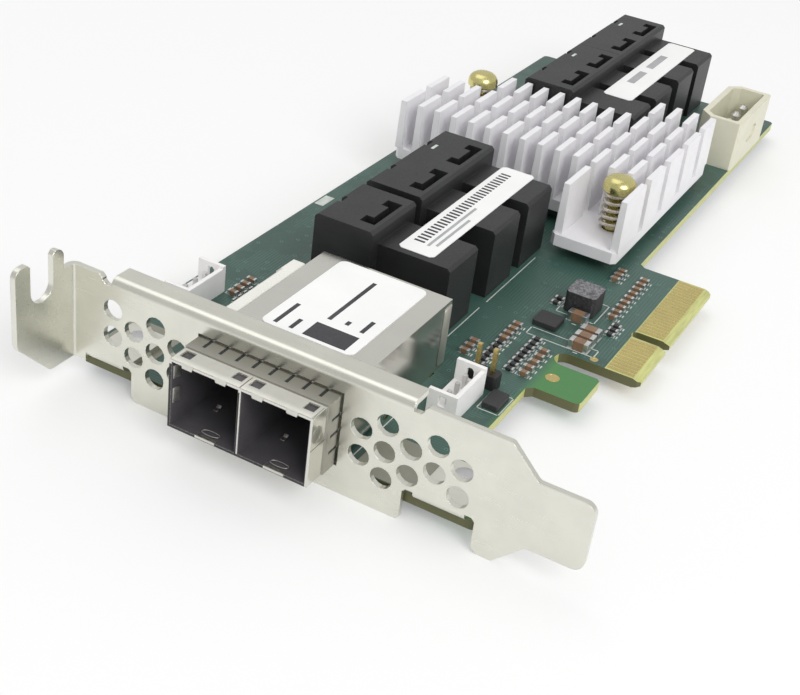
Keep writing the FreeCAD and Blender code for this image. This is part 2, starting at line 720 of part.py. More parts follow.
def make_bracket_screws():
    """Pan-head screws from the solder side through the board into the bracket's ears."""
    screws = []
    for x, y in bracket_screw_places():
        foot = BOARD_UNDERSIDE - BRACKET_SCREW_HEAD_HEIGHT
        rim = foot + BRACKET_SCREW_HEAD_HEIGHT / 3
        crown = tapered(x, y, BRACKET_SCREW_CROWN, BRACKET_SCREW_HEAD, foot, rim)
        head = post(x, y, BRACKET_SCREW_HEAD, rim, BOARD_UNDERSIDE)
        shank = post(x, y, BRACKET_SCREW_SHANK, BOARD_UNDERSIDE, EAR_TOP + SHEET / 2)
        screws.append(joined([crown, head, shank]))
    nodes["bracket_screws"] = Part.makeCompound(screws)


def make_port_cage():
    """The folded metal cage of the two external ports, its septum and its board legs."""
    outer = box(CAGE_LEFT, -CAGE_PROUD, CAGE_FLOOR, CAGE_RIGHT, CAGE_REAR, CAGE_ROOF)
    skirt = box(CAGE_LEFT, EAR_DEPTH, BOARD_TOP, CAGE_RIGHT, CAGE_REAR, CAGE_FLOOR)
    shell = outer.fuse(skirt).removeSplitter()
    cuts = []
    for side in (-1, 1):
        middle = CAGE_MIDDLE + side * (CAGE_SEPTUM + BAY_WIDTH) / 2
        x0, x1 = middle - BAY_WIDTH / 2, middle + BAY_WIDTH / 2
        floor_end = -CAGE_PROUD + CAGE_FLOOR_LENGTH
        inner_roof = CAGE_ROOF - CAGE_WALL
        inner_rear = CAGE_REAR - CAGE_WALL
        cuts.append(box(x0, -CAGE_PROUD - PAST, CAGE_FLOOR + CAGE_WALL, x1, inner_rear, inner_roof))
        cuts.append(box(x0, floor_end, BOARD_TOP - PAST, x1, inner_rear, inner_roof))
        window_y = -CAGE_PROUD + CAGE_WINDOW_SETBACK
        for edge in (x0 + CAGE_WALL, x1 - CAGE_WALL - CAGE_WINDOW):
            window_end = window_y + CAGE_WINDOW
            cuts.append(box(edge, window_y, inner_roof - PAST,
                            edge + CAGE_WINDOW, window_end, CAGE_ROOF + PAST))
    shell = drilled(shell, cuts)
    legs = []
    for x, y in cage_leg_places():
        half = CAGE_LEG_WIDTH / 2
        foot = BOARD_UNDERSIDE - TAIL_LENGTH
        legs.append(box(x - CAGE_WALL / 2, y - half, foot, x + CAGE_WALL / 2, y + half, BOARD_TOP))
    nodes["port_cage"] = joined([shell] + legs)


def make_cage_gasket():
    """The thin spring collar that seals the cage against the bracket opening, cut into fingers."""
    y0, y1 = -GASKET_PROUD, GASKET_TAIL
    outer = box(CAGE_LEFT - GASKET, y0, CAGE_FLOOR - GASKET, CAGE_RIGHT + GASKET, y1, CAGE_ROOF + GASKET)
    inner = box(CAGE_LEFT, y0 - PAST, CAGE_FLOOR, CAGE_RIGHT, y1 + PAST, CAGE_ROOF)
    slits = []
    band = (y1 - y0) * GASKET_BAND_SHARE
    half = GASKET_SLIT / 2
    across = int(CAGE_WIDTH / GASKET_FINGER_PITCH)
    first = CAGE_MIDDLE - (across - 1) * GASKET_FINGER_PITCH / 2
    for i in range(across):
        x = first + i * GASKET_FINGER_PITCH
        slits.append(box(x - half, y0 + band, CAGE_FLOOR - PAST, x + half, y1 - band, CAGE_ROOF + PAST))
    middle_z = (CAGE_FLOOR + CAGE_ROOF) / 2
    for row in (-1, 0, 1):
        z = middle_z + row * GASKET_FINGER_PITCH
        slits.append(box(CAGE_LEFT - PAST, y0 + band, z - half, CAGE_RIGHT + PAST, y1 - band, z + half))
    nodes["cage_gasket"] = drilled(outer.cut(inner), slits)


def make_light_guide():
    """The pale rail along the cage's left flank, with a foot that stands on the board."""
    top = CAGE_ROOF - GUIDE_DROP
    rear = CAGE_REAR - GUIDE_SETBACK
    foot_front = rear - GUIDE_FOOT_LENGTH

    def run(width, low, y0, y1):
        left = CAGE_LEFT - width
        return prism_y([
            (left, low, 0),
            (CAGE_LEFT, low, 0),
            (CAGE_LEFT, top, -GUIDE_EDGE / 2),
            (left, top, -GUIDE_EDGE),
        ], y0, y1)

    rail = run(GUIDE_WIDTH, top - GUIDE_HEIGHT, GASKET_TAIL + GUIDE_FRONT_GAP, foot_front)
    foot = run(GUIDE_FOOT_WIDTH, BOARD_TOP, foot_front, rear)
    nodes["light_guide"] = joined([rail, foot])


def slot_contacts(middle, mouth, slot_zs, height, along, depth):
    """A row of contacts on the floor of each slot; along is the unit step across the slot."""
    inward = V(0, 1, 0) if along.x else V(1, 0, 0)
    contacts = []
    for z in slot_zs:
        floor = z - height / 2
        for i in range(CONTACTS_A_ROW):
            shift = (i - (CONTACTS_A_ROW - 1) / 2) * CONTACT_PITCH
            centre = along * (middle + shift) + inward * mouth
            low = centre - along * (CONTACT_WIDTH / 2)
            high = centre + along * (CONTACT_WIDTH / 2) + inward * depth
            contacts.append(box(low.x, low.y, floor, high.x, high.y, floor + CONTACT_THICKNESS))
    return contacts


def make_port_receptacles():
    """The black receptacle at the back of each cage bay, with two card slots and their contacts."""
    contacts = []
    rear = CAGE_REAR - CAGE_WALL - PORT_REAR_GAP
    roof = CAGE_ROOF - CAGE_WALL - PORT_ROOF_GAP
    middle_z = (CAGE_FLOOR + CAGE_ROOF) / 2
    slot_zs = [middle_z - PORT_SLOT_SPACING / 2, middle_z + PORT_SLOT_SPACING / 2]
    for name, side in (("left", -1), ("right", 1)):
        middle = CAGE_MIDDLE + side * (CAGE_SEPTUM + BAY_WIDTH) / 2
        half = BAY_WIDTH / 2 - PORT_SIDE_GAP
        block = box(middle - half, PORT_FRONT, BOARD_TOP, middle + half, rear, roof)
        slots = []
        for z in slot_zs:
            x0, x1 = middle - PORT_SLOT_WIDTH / 2, middle + PORT_SLOT_WIDTH / 2
            z0, z1 = z - PORT_SLOT_HEIGHT / 2, z + PORT_SLOT_HEIGHT / 2
            slots.append(box(x0, PORT_FRONT - PAST, z0, x1, PORT_FRONT + PORT_SLOT_DEPTH, z1))
        nodes["port_receptacle_" + name] = drilled(block, slots)
        depth = PORT_SLOT_DEPTH - CONTACT_SETBACK
        mouth = PORT_FRONT + CONTACT_SETBACK
        contacts += slot_contacts(middle, mouth, slot_zs, PORT_SLOT_HEIGHT, V(1, 0, 0), depth)
    nodes["port_contacts"] = Part.makeCompound(contacts)


def make_internal_connector(name, start, ports):
    """A cable connector: a tall shroud that opens to the card's upper edge, and one rear block a port."""
    end = start + ports * LINK_PITCH + 2 * LINK_END_WALL
    middles = link_port_middles(start, ports)
    shroud = prism_y([
        (LINK_LEFT, BOARD_TOP, 0),
        (LINK_SHROUD_END, BOARD_TOP, 0),
        (LINK_SHROUD_END, LINK_TOP, -LINK_EDGE),
        (LINK_LEFT, LINK_TOP, -LINK_EDGE),
    ], start, end)
    half_body = LINK_BODY_WIDTH / 2
    blocks = []
    for y in middles:
        blocks.append(prism_y([
            (LINK_SHROUD_END, BOARD_TOP, 0),
            (LINK_REACH, BOARD_TOP, 0),
            (LINK_REACH, LINK_STEP_TOP, -LINK_EDGE),
            (LINK_SHROUD_END, LINK_STEP_TOP, 0),
        ], y - half_body, y + half_body))
    for x, y in link_peg_places(start, ports):
        blocks.append(post(x, y, LINK_PEG_DIAMETER, BOARD_TOP - LINK_PEG_LENGTH, BOARD_TOP, PEG_SIDES))
    whole = joined([shroud] + blocks)

    cavity_low = BOARD_TOP + LINK_WALL
    cavity_high = LINK_TOP - LINK_ROOF
    cavity_end = LINK_LEFT + LINK_CAVITY_DEPTH
    half_cavity = LINK_PITCH / 2 - LINK_WALL / 2
    middle_z = (cavity_low + cavity_high) / 2
    slot_zs = [middle_z - LINK_SLOT_SPACING / 2, middle_z + LINK_SLOT_SPACING / 2]
    latch_start = LINK_SHROUD_END - LINK_LATCH_SETBACK - LINK_LATCH_LENGTH
    mouth_face = LINK_LEFT - PAST
    cuts, contacts = [], []
    for y in middles:
        cuts.append(box(mouth_face, y - half_cavity, cavity_low, cavity_end, y + half_cavity, cavity_high))
        for z in slot_zs:
            z0, z1 = z - LINK_SLOT_HEIGHT / 2, z + LINK_SLOT_HEIGHT / 2
            y0, y1 = y - LINK_SLOT_WIDTH / 2, y + LINK_SLOT_WIDTH / 2
            cuts.append(box(cavity_end - PAST, y0, z0, cavity_end + LINK_SLOT_DEPTH, y1, z1))
        window = box(latch_start, y - LINK_LATCH_WIDTH / 2, cavity_high - PAST,
                     latch_start + LINK_LATCH_LENGTH, y + LINK_LATCH_WIDTH / 2, LINK_TOP + PAST)
        tongue = box(latch_start - PAST, y - LINK_LATCH_TONGUE / 2, cavity_high - 2 * PAST,
                     latch_start + LINK_LATCH_LENGTH / 2, y + LINK_LATCH_TONGUE / 2, LINK_TOP + 2 * PAST)
        cuts.append(window.cut(tongue))
        guide = LINK_GUIDE_WIDTH / 2
        cuts.append(box(mouth_face, y - guide, cavity_high - PAST,
                        LINK_LEFT + guide, y + guide, LINK_TOP + PAST))
        depth = LINK_SLOT_DEPTH - CONTACT_SETBACK
        mouth = cavity_end + CONTACT_SETBACK
        contacts += slot_contacts(y, mouth, slot_zs, LINK_SLOT_HEIGHT, V(0, 1, 0), depth)
    nodes["internal_connector_" + name] = drilled(whole, cuts)
    nodes["internal_contacts_" + name] = Part.makeCompound(contacts)


def make_expander_chip():
    """The expander package and the pad that carries its heat into the heatsink."""
    half = CHIP_SIZE / 2
    x0, y0 = CHIP_CENTRE_X - half, CHIP_CENTRE_Y - half
    x1, y1 = CHIP_CENTRE_X + half, CHIP_CENTRE_Y + half
    carrier_top = BOARD_TOP + CHIP_HEIGHT * CARRIER_SHARE
    carrier = box(x0, y0, BOARD_TOP, x1, y1, carrier_top)
    m = LID_MARGIN
    lid = plate(x0 + m, y0 + m, x1 - m, y1 - m, carrier_top, BOARD_TOP + CHIP_HEIGHT, -LID_CORNER)
    nodes["expander_chip"] = carrier.fuse(lid).removeSplitter()
    m = PAD_MARGIN
    nodes["thermal_pad"] = box(x0 + m, y0 + m, BOARD_TOP + CHIP_HEIGHT, x1 - m, y1 - m, SINK_UNDERSIDE)


def fin_rows(x):
    """Front and rear end of each row of the fin at x, with room for the two spring screws."""
    front, rear = SINK_FRONT, SINK_REAR
    if x > SINK_STEP:
        front, rear = SINK_WING_FRONT + SINK_LEDGE, SINK_WING_REAR
    rows = []
    for i in range(SINK_CHANNELS):
        channel_end = SINK_FRONT + i * SINK_ROW_PITCH
        row_end = min(channel_end - SINK_CHANNEL, rear)
        if row_end > front:
            rows.append((front, row_end))
        front = max(front, channel_end)
    if rear > front:
        rows.append((front, rear))
    if abs(x - SCREW_RIGHT_X) < SCREW_RECESS_HALF_WIDTH:
        rows = rows[1:]
    if x < SCREW_LEFT_X + SINK_LUG_REACH:
        rows = rows[:-1]
    return rows


def make_heatsink():
    """The stepped heatsink: a base that passes both connector rows, and tapered fins in rows."""
    lug_left = SCREW_LEFT_X - SINK_LUG_REACH
    lug_right = SCREW_LEFT_X + SINK_LUG_REACH
    lug_rear = SCREW_LEFT_Y + SINK_LUG_REACH
    base = prism_z([
        (SINK_LEFT, SINK_FRONT, -SINK_CORNER),
        (SINK_STEP, SINK_FRONT, 0),
        (SINK_STEP, SINK_WING_FRONT, -SINK_CORNER),
        (SINK_RIGHT, SINK_WING_FRONT, -SINK_CORNER),
        (SINK_RIGHT, SINK_WING_REAR, -SINK_CORNER),
        (SINK_STEP, SINK_WING_REAR, -SINK_CORNER),
        (SINK_STEP, SINK_REAR, 0),
        (lug_right, SINK_REAR, 0),
        (lug_right, lug_rear, -SINK_LUG_CORNER),
        (lug_left, lug_rear, -SINK_LUG_CORNER),
        (lug_left, SCREW_LEFT_Y - SCREW_RECESS, 0),
        (SINK_LEFT, SCREW_LEFT_Y - SCREW_RECESS, -SINK_CORNER),
    ], SINK_UNDERSIDE, SINK_BASE_TOP)
    first = SINK_LEFT + FIN_THICKNESS / 2
    pitch = (SINK_RIGHT - SINK_LEFT - FIN_THICKNESS) / (FIN_COUNT - 1)
    root, tip = FIN_THICKNESS / 2, FIN_TIP_THICKNESS / 2
    fins = []
    for i in range(FIN_COUNT):
        x = first + i * pitch
        for front, rear in fin_rows(x):
            fins.append(prism_y([
                (x - root, SINK_BASE_TOP, 0),
                (x + root, SINK_BASE_TOP, 0),
                (x + tip, SINK_TOP, 0),
                (x - tip, SINK_TOP, 0),
            ], front, rear))
    holes = []
    for x, y in spring_screw_places().values():
        hole = SCREW_SHANK + 4 * HOLE_CLEARANCE
        holes.append(post(x, y, hole, SINK_UNDERSIDE - PAST, SINK_BASE_TOP + PAST))
    nodes["heatsink_base"] = drilled(base, holes)
    nodes["heatsink_fins"] = Part.makeCompound(fins)


def coil_spring(x, y):
    """A wound spring between the heatsink's base and the screw head, as a chain of straight facets."""
    rise = SCREW_SPRING_SPACE - SPRING_WIRE - 2 * SPRING_GAP
    foot = SINK_BASE_TOP + SPRING_WIRE / 2 + SPRING_GAP
    steps = SPRING_TURNS * SPRING_FACETS
    rings = []
    for i in range(steps + 1):
        angle = 2 * math.pi * i / SPRING_FACETS
        outward = V(math.cos(angle), math.sin(angle), 0)
        level = foot + rise * i / steps
        points = []
        for a, b, _ in ring_of_points(SPRING_MEAN / 2, level, SPRING_WIRE / 2, SPRING_SIDES):
            points.append(V(x, y, b) + outward * a)
        rings.append(points)
    return skinned(rings)


def make_spring_screws():
    """Brass shoulder screws with domed heads, their coil springs and the nuts under the board."""
    nuts = []
    for side, (x, y) in spring_screw_places().items():
        shank = post(x, y, SCREW_SHANK, BOARD_UNDERSIDE - NUT_HEIGHT, SCREW_SEAT)
        step = SCREW_HEAD_HEIGHT / 3
        rims = [SCREW_HEAD * share for share in SCREW_DOME]
        head = [post(x, y, SCREW_HEAD, SCREW_SEAT, SCREW_SEAT + step)]
        for i in (1, 2):
            low = SCREW_SEAT + i * step
            head.append(tapered(x, y, rims[i - 1], rims[i], low, low + step))
        nodes["spring_screw_" + side] = joined([shank] + head)
        nodes["screw_spring_" + side] = coil_spring(x, y)

        nut = prism_z(ring_of_points(x, y, NUT_ACROSS_FLATS / math.sqrt(3), 6),
                      BOARD_UNDERSIDE - NUT_HEIGHT, BOARD_UNDERSIDE)
        nuts.append(nut.cut(post(x, y, SCREW_SHANK + HOLE_CLEARANCE, 0, BOARD_TOP)))
    nodes["screw_nuts"] = Part.makeCompound(nuts)


def make_power_connector():
    """The cream four-way power header that opens upwards, with its round pins."""
    x0, x1 = POWER_LEFT, POWER_LEFT + POWER_DEPTH
    y0, y1 = POWER_FRONT, POWER_FRONT + POWER_LENGTH
    c = POWER_CHAMFER

    def ring(inset, z0, z1):
        cut = c - inset * POWER_CHAMFER_EASE
        return prism_z([
            (x0 + inset + cut, y0 + inset, 0),
            (x1 - inset, y0 + inset, -POWER_CORNER),
            (x1 - inset, y1 - inset, -POWER_CORNER),
            (x0 + inset + cut, y1 - inset, 0),
            (x0 + inset, y1 - inset - cut, 0),
            (x0 + inset, y0 + inset + cut, 0),
        ], z0, z1)

    body = ring(0, BOARD_TOP, POWER_TOP)
    floor_top = BOARD_TOP + POWER_FLOOR
    cuts = [ring(POWER_WALL, floor_top, POWER_TOP + PAST)]
    middle_z = BOARD_TOP + POWER_HEIGHT / 2
    half = POWER_RECESS_LENGTH / 2
    rise = POWER_RECESS_HEIGHT / 2
    recess = prism_x([
        (POWER_CENTRE_Y - half, middle_z - rise, -rise * OCTAGON_CUT),
        (POWER_CENTRE_Y + half, middle_z - rise, -rise * OCTAGON_CUT),
        (POWER_CENTRE_Y + half, middle_z + rise, -rise * OCTAGON_CUT),
        (POWER_CENTRE_Y - half, middle_z + rise, -rise * OCTAGON_CUT),
    ], x1 - POWER_RECESS_DEPTH, x1 + PAST)
    cuts.append(recess)
    pins = []
    for x, y in power_pin_places():
        cuts.append(post(x, y, POWER_PIN_DIAMETER + HOLE_CLEARANCE, BOARD_TOP - PAST, floor_top + PAST))
        tip = POWER_TOP - POWER_PIN_DROP
        neck = tip - POWER_PIN_POINT
        pin = post(x, y, POWER_PIN_DIAMETER, BOARD_UNDERSIDE - TAIL_LENGTH, neck)
        point = tapered(x, y, POWER_PIN_DIAMETER, POWER_PIN_DIAMETER - 2 * POWER_PIN_POINT, neck, tip)
        pins.append(joined([pin, point]))
    nodes["power_connector"] = drilled(body, cuts)
    nodes["power_pins"] = Part.makeCompound(pins)


def make_sideband_headers():
    """The white shrouded headers behind the bracket: low walls, a latch window and three pins each."""
    pins = []
    for side, x0 in (("left", HEADER_LEFT_X), ("right", HEADER_RIGHT_X)):
        x1 = x0 + HEADER_WIDTH
        y0, y1 = HEADER_FRONT, HEADER_FRONT + HEADER_LENGTH
        floor_top = BOARD_TOP + HEADER_FLOOR
        wall_top = BOARD_TOP + HEADER_WALL_HEIGHT
        back_top = BOARD_TOP + HEADER_BACK_HEIGHT
        w = HEADER_WALL
        walls = [
            box(x0, y0, BOARD_TOP, x1, y1, floor_top),
            box(x0, y0, floor_top, x1, y0 + w, wall_top),
            box(x1 - w, y0, floor_top, x1, y1, wall_top),
            box(x0, y1 - w, floor_top, x1, y1, back_top),
        ]
        shroud = joined(walls)
        middle_x = x0 + HEADER_WIDTH / 2
        half = HEADER_WINDOW_WIDTH / 2
        window_low = back_top - HEADER_WINDOW_HEIGHT - w
        window = prism_y([
            (middle_x - half, window_low, -half * OCTAGON_CUT),
            (middle_x + half, window_low, -half * OCTAGON_CUT),
            (middle_x + half, window_low + HEADER_WINDOW_HEIGHT, -half * OCTAGON_CUT),
            (middle_x - half, window_low + HEADER_WINDOW_HEIGHT, -half * OCTAGON_CUT),
        ], y1 - 2 * w, y1 + PAST)
        peep = box(middle_x - half, y0 - PAST, floor_top + w, middle_x + half, y0 + 2 * w, wall_top - w)
        cuts = [window, peep]
        reach = HEADER_PIN / 2
        tail_end = BOARD_UNDERSIDE - TAIL_LENGTH
        for x, y in header_pin_places(x0):
            cuts.append(box(x - reach, y - reach, BOARD_TOP - PAST, x + reach, y + reach, floor_top + PAST))
            pins.append(box(x - reach, y - reach, tail_end, x + reach, y + reach, wall_top - w))
        nodes["sideband_header_" + side] = drilled(shroud, cuts)
    nodes["sideband_pins"] = Part.makeCompound(pins)


def make_jumper():
    """The two-pin jumper beside the right header."""
    half_x = JUMPER_PITCH / 2 + JUMPER_BASE_WIDTH / 2
    half_y = JUMPER_BASE_WIDTH / 2
    base_top = BOARD_TOP + JUMPER_BASE_HEIGHT
    base = plate(JUMPER_X - half_x, JUMPER_Y - half_y, JUMPER_X + half_x, JUMPER_Y + half_y,
                 BOARD_TOP, base_top, -JUMPER_CORNER)
    reach = JUMPER_PIN / 2
    top = BOARD_TOP + JUMPER_PIN_RISE
    cuts, pins = [], []
    for x, y in jumper_pin_places():
        cuts.append(box(x - reach, y - reach, BOARD_TOP - PAST, x + reach, y + reach, base_top + PAST))
        pins.append(box(x - reach, y - reach, BOARD_UNDERSIDE - TAIL_LENGTH, x + reach, y + reach, top))
    nodes["jumper_base"] = drilled(base, cuts)
    nodes["jumper_pins"] = Part.makeCompound(pins)


def chip_on_board(x, y, length, width, height, edge):
    """A moulded body with its upright corners cut off, standing on the board."""
    half_x, half_y = length / 2, width / 2
    return plate(x - half_x, y - half_y, x + half_x, y + half_y, BOARD_TOP, BOARD_TOP + height, -edge)


def make_power_parts():
    """The moulded supply coil, its flat regulator chip and the switch chip by the jumper."""
    nodes["supply_coil"] = chip_on_board(COIL_X, COIL_Y, COIL_SIZE, COIL_SIZE, COIL_HEIGHT, COIL_EDGE)
    nodes["regulator_chip"] = chip_on_board(REGULATOR_X, REGULATOR_Y, REGULATOR_SIZE, REGULATOR_SIZE,
                                            REGULATOR_HEIGHT, CHIP_EDGE)
    nodes["switch_chip"] = chip_on_board(SWITCH_CHIP_X, SWITCH_CHIP_Y, SWITCH_CHIP_WIDTH, SWITCH_CHIP_LENGTH,
                                         REGULATOR_HEIGHT, CHIP_EDGE)


def make_memory_chip():
    """The eight-lead settings memory and the crystal, on the strip in front of the cable mouths."""
    x, y = MEMORY_X, MEMORY_Y
    nodes["memory_chip"] = chip_on_board(x, y, MEMORY_WIDTH, MEMORY_LENGTH, MEMORY_HEIGHT, CHIP_EDGE)
    leads = []
    first = y - (MEMORY_LEADS_A_SIDE - 1) * MEMORY_LEAD_PITCH / 2
    half = MEMORY_LEAD_WIDTH / 2
    mid = MEMORY_HEIGHT / 2
    thick = MEMORY_LEAD_THICKNESS
    for side in (-1, 1):
        root = x + side * MEMORY_WIDTH / 2
        for i in range(MEMORY_LEADS_A_SIDE):
            at = first + i * MEMORY_LEAD_PITCH
            knee = root + side * MEMORY_LEAD_REACH * MEMORY_KNEE
            toe = root + side * MEMORY_LEAD_REACH
            z = BOARD_TOP
            leads.append(prism_y([
                (root, z + mid, 0),
                (root, z + mid + thick, 0),
                (knee + side * thick, z + mid + thick, 0),
                (knee + side * thick, z + thick, 0),
                (toe, z + thick, 0),
                (toe, z, 0),
                (knee, z, 0),
                (knee, z + mid, 0),
            ], at - half, at + half))
    nodes["memory_leads"] = Part.makeCompound(leads)
    nodes["crystal"] = chip_on_board(x, y + MEMORY_LENGTH + CRYSTAL_LENGTH, CRYSTAL_WIDTH, CRYSTAL_LENGTH,
                                     CRYSTAL_HEIGHT, CHIP_EDGE)


def two_ended(x, y, size):
    """Body and end caps of a chip part that lies across the card."""
    length, width, height = size
    cap = length * TERMINAL_SHARE
    half = length / 2

    def block(a0, a1):
        return box(x + a0, y - width / 2, BOARD_TOP, x + a1, y + width / 2, BOARD_TOP + height)

    return block(-half + cap, half - cap), [block(-half, -half + cap), block(half - cap, half)]


def chip_part_rows():
    """Rows of chip parts: first place, step along the card, count and size."""
    beside_coil = COIL_X + COIL_SIZE
    before_coil = COIL_Y - COIL_SIZE / 2 - BIG_CAP[1]
    by_regulator = REGULATOR_Y - REGULATOR_SIZE
    behind_hook = HOOK_START + HOOK_CLEARANCE
    by_header = HEADER_LEFT_X + HEADER_WIDTH + SMALL_CAP[0]
    header_rear = HEADER_FRONT + HEADER_LENGTH
    strip = REGULATOR_X - LINK_REACH
    near_column = LINK_REACH + NEAR_COLUMN_SHARE * strip
    far_column = LINK_REACH + FAR_COLUMN_SHARE * strip
    half_cap = SMALL_CAP[0] / 2
    return {
        "capacitor": [
            (beside_coil, COIL_Y, WIDE_STEP, 9, SMALL_CAP),
            (beside_coil - half_cap, by_regulator, BIG_STEP, 3, BIG_CAP),
            (COIL_X + half_cap, before_coil, BIG_STEP, 1, BIG_CAP),
            (REGULATOR_X + 2 * BIG_CAP[1], behind_hook, WIDE_STEP, 5, SMALL_CAP),
            (far_column, behind_hook + REGULATOR_SIZE + BIG_CAP[0], CHIP_STEP, 4, SMALL_CAP),
            (near_column, behind_hook, CHIP_STEP, 3, SMALL_CAP),
            (COIL_X + half_cap, COIL_Y + FAR_CLUSTER_GAP, CHIP_STEP, 3, SMALL_CAP),
            (by_header, header_rear, CHIP_STEP, 4, SMALL_CAP),
        ],
        "resistor": [
            (REGULATOR_X + RESISTOR[1], behind_hook, CLOSE_STEP, 8, RESISTOR),
            (far_column, behind_hook - CLOSE_STEP, CLOSE_STEP, 6, RESISTOR),
            (beside_coil + RESISTOR[0], COIL_Y - COIL_SIZE, CLOSE_STEP, 3, RESISTOR),
            (COIL_X - COIL_SIZE / 2 - RESISTOR[0], COIL_Y - CLOSE_STEP, CHIP_STEP, 2, RESISTOR),
            (by_header + WIDE_STEP, header_rear - CLOSE_STEP, CLOSE_STEP, 4, RESISTOR),
        ],
    }


def make_chip_parts():
    """Ceramic capacitors and resistors, each with its two metal ends."""
    for kind, rows in chip_part_rows().items():
        bodies, ends = [], []
        for x, y, step, count, size in rows:
            for i in range(count):
                body, caps = two_ended(x, y + i * step, size)
                bodies.append(body)
                ends += caps
        nodes[kind + "_bodies"] = Part.makeCompound(bodies)
        nodes[kind + "_ends"] = Part.makeCompound(ends)


def make_labels():
    """Blank stick-on labels on the cage and on the two rows of internal connectors."""
    cage_y1 = CAGE_REAR - CAGE_LABEL_SETBACK
    half = CAGE_LABEL_WIDTH / 2
    nodes["cage_label"] = plate(CAGE_MIDDLE - half, cage_y1 - CAGE_LABEL_LENGTH, CAGE_MIDDLE + half, cage_y1,
                                CAGE_ROOF, CAGE_ROOF + LABEL_THICKNESS, CAGE_LABEL_CORNER)
    x0 = LINK_SHROUD_END + LINK_LABEL_INSET
    x1 = x0 + LINK_LABEL_WIDTH
    top = LINK_STEP_TOP + LABEL_THICKNESS
    nodes["front_connector_label"] = plate(x0, FRONT_LABEL_START, x1, FRONT_LABEL_START + FRONT_LABEL_LENGTH,
                                           LINK_STEP_TOP, top, -LINK_LABEL_CORNER)
    rear_end = BOARD_LENGTH - REAR_LABEL_END_GAP
    nodes["rear_connector_label"] = plate(x0, rear_end - REAR_LABEL_LENGTH, x1, rear_end,
                                          LINK_STEP_TOP, top, -LINK_LABEL_CORNER)


def write_nodes():
    """Move every node into the card's frame and write it out."""
    os.makedirs("parts", exist_ok=True)
    shift = V(-CARD_MIDDLE_X, -CARD_MIDDLE_Y, 0)
    for name, shape in nodes.items():
        placed = shape.copy()
        placed.translate(shift)
        placed.exportStep(os.path.join("parts", name + ".step"))


make_bracket()
make_circuit_board()
make_edge_contacts()
make_bracket_screws()
make_port_cage()
make_cage_gasket()
make_light_guide()
make_port_receptacles()
for group_name, (group_start, group_ports) in link_groups().items():
    make_internal_connector(group_name, group_start, group_ports)
make_expander_chip()
make_heatsink()
make_spring_screws()
make_power_connector()
make_sideband_headers()
make_jumper()
make_power_parts()
make_memory_chip()
make_chip_parts()
make_labels()
write_nodes()
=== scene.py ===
"""Looks of a low-profile storage expander card: finishes for its CAD pieces and the fine pieces on them.

Laid out as an add-on and run as a script. Places are given as on the bench, in millimetres from the
outer corner of the bracket: x along the bracket, y along the card and z up from the bracket's lower edge.
"""
import math

import bpy
from mathutils import Matrix, Vector


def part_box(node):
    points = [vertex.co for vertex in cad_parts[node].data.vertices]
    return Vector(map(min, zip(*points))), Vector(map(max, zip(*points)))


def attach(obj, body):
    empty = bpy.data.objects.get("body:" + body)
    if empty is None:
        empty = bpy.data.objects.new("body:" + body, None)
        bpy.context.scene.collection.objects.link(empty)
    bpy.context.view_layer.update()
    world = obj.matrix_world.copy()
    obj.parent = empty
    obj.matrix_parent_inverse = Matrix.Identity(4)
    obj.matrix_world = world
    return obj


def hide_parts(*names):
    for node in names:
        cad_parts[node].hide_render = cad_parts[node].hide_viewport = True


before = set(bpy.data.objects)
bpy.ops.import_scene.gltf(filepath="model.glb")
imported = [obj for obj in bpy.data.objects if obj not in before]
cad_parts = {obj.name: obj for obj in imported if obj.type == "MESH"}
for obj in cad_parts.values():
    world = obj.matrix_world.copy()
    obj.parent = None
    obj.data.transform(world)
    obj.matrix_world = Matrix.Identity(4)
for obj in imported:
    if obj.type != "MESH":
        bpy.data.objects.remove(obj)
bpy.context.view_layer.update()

bl_info = {
    "name": "Storage expander card",
    "version": (1, 0, 0),
    "blender": (4, 5, 0),
    "location": "View3D > Sidebar > Card",
    "description": "Finishes and fine pieces of a low-profile storage expander card",
    "category": "Object",
}

MM = 0.001

# Play in tests of a level, the least share that counts as along an axis, and the rounded share of thin marks
HAIR = 0.01 * MM
STRAIGHT = 0.9
SOFT = 0.4

LINKS = ("front_single", "front_double", "rear_near", "rear_far")

# Bracket and its screws
SCREW_TAB_DEPTH = 11.43 * MM
PAN_HEIGHT = 1.5 * MM
PAN_EDGE = 0.675 * MM
PAN_SHANK = 2.9 * MM
PAN_SHANK_EDGE = 0.15 * MM
CROSS_REACH = 1.3 * MM
CROSS_HALF_WIDTH = 0.3 * MM
CROSS_DEPTH = 0.9 * MM

# Board: places in bench millimetres, as x and y of two corners; gold pads as x, y, radius and rim
CLEAR_FADE = (55.6, 57.6)
CLEAR_REAR = 44.5
TRACKS_A_METRE = 1900.0
TRACK_SHARE = 0.42
VIA_RINGS = ((0.13, 2.1), (0.06, 0.45))
# Painted shade: share of the laminate colour left on the board's front cut edge, which lies in shadow under
# the bracket
FRONT_EDGE_PAINTED_SHADE = 0.2
BARE_MARGIN = 0.2 * MM
BARE_REACH = 1.5 * MM
BARE_BOARD = (42.0, 51.0, 46.9, 75.0)
GROUND_PADS = ((1.4, 1.35, 10.6, 13.2), (45.7, 1.35, 62.0, 11.2))
GROUND_PAD_CORNER = 0.6 * MM
GOLD_PADS = ((58.6, 38.6, 1.1, 0.25), (61.7, 47.6, 0.65, 0.3))
PRINTED_LINES = ((40.8, 39.0, 40.8, 50.0), (40.9, 52.6, 40.9, 71.9), (44.7, 3.2, 44.7, 15.5))
PRINTED_FRAMES = ((50.0, 48.0, 61.4, 50.3), (51.0, 57.6, 57.6, 64.6), (52.9, 24.4, 56.3, 29.7))
PRINTED_FIELDS = ((1.2, 63.8, 3.0, 67.9),)
TICK_WIDTH = 0.22 * MM
TICK_LENGTH = 0.8 * MM
TICK_GAP = 0.3 * MM
TICK_MARGIN = 0.18 * MM
END_LENGTH = 0.35 * MM
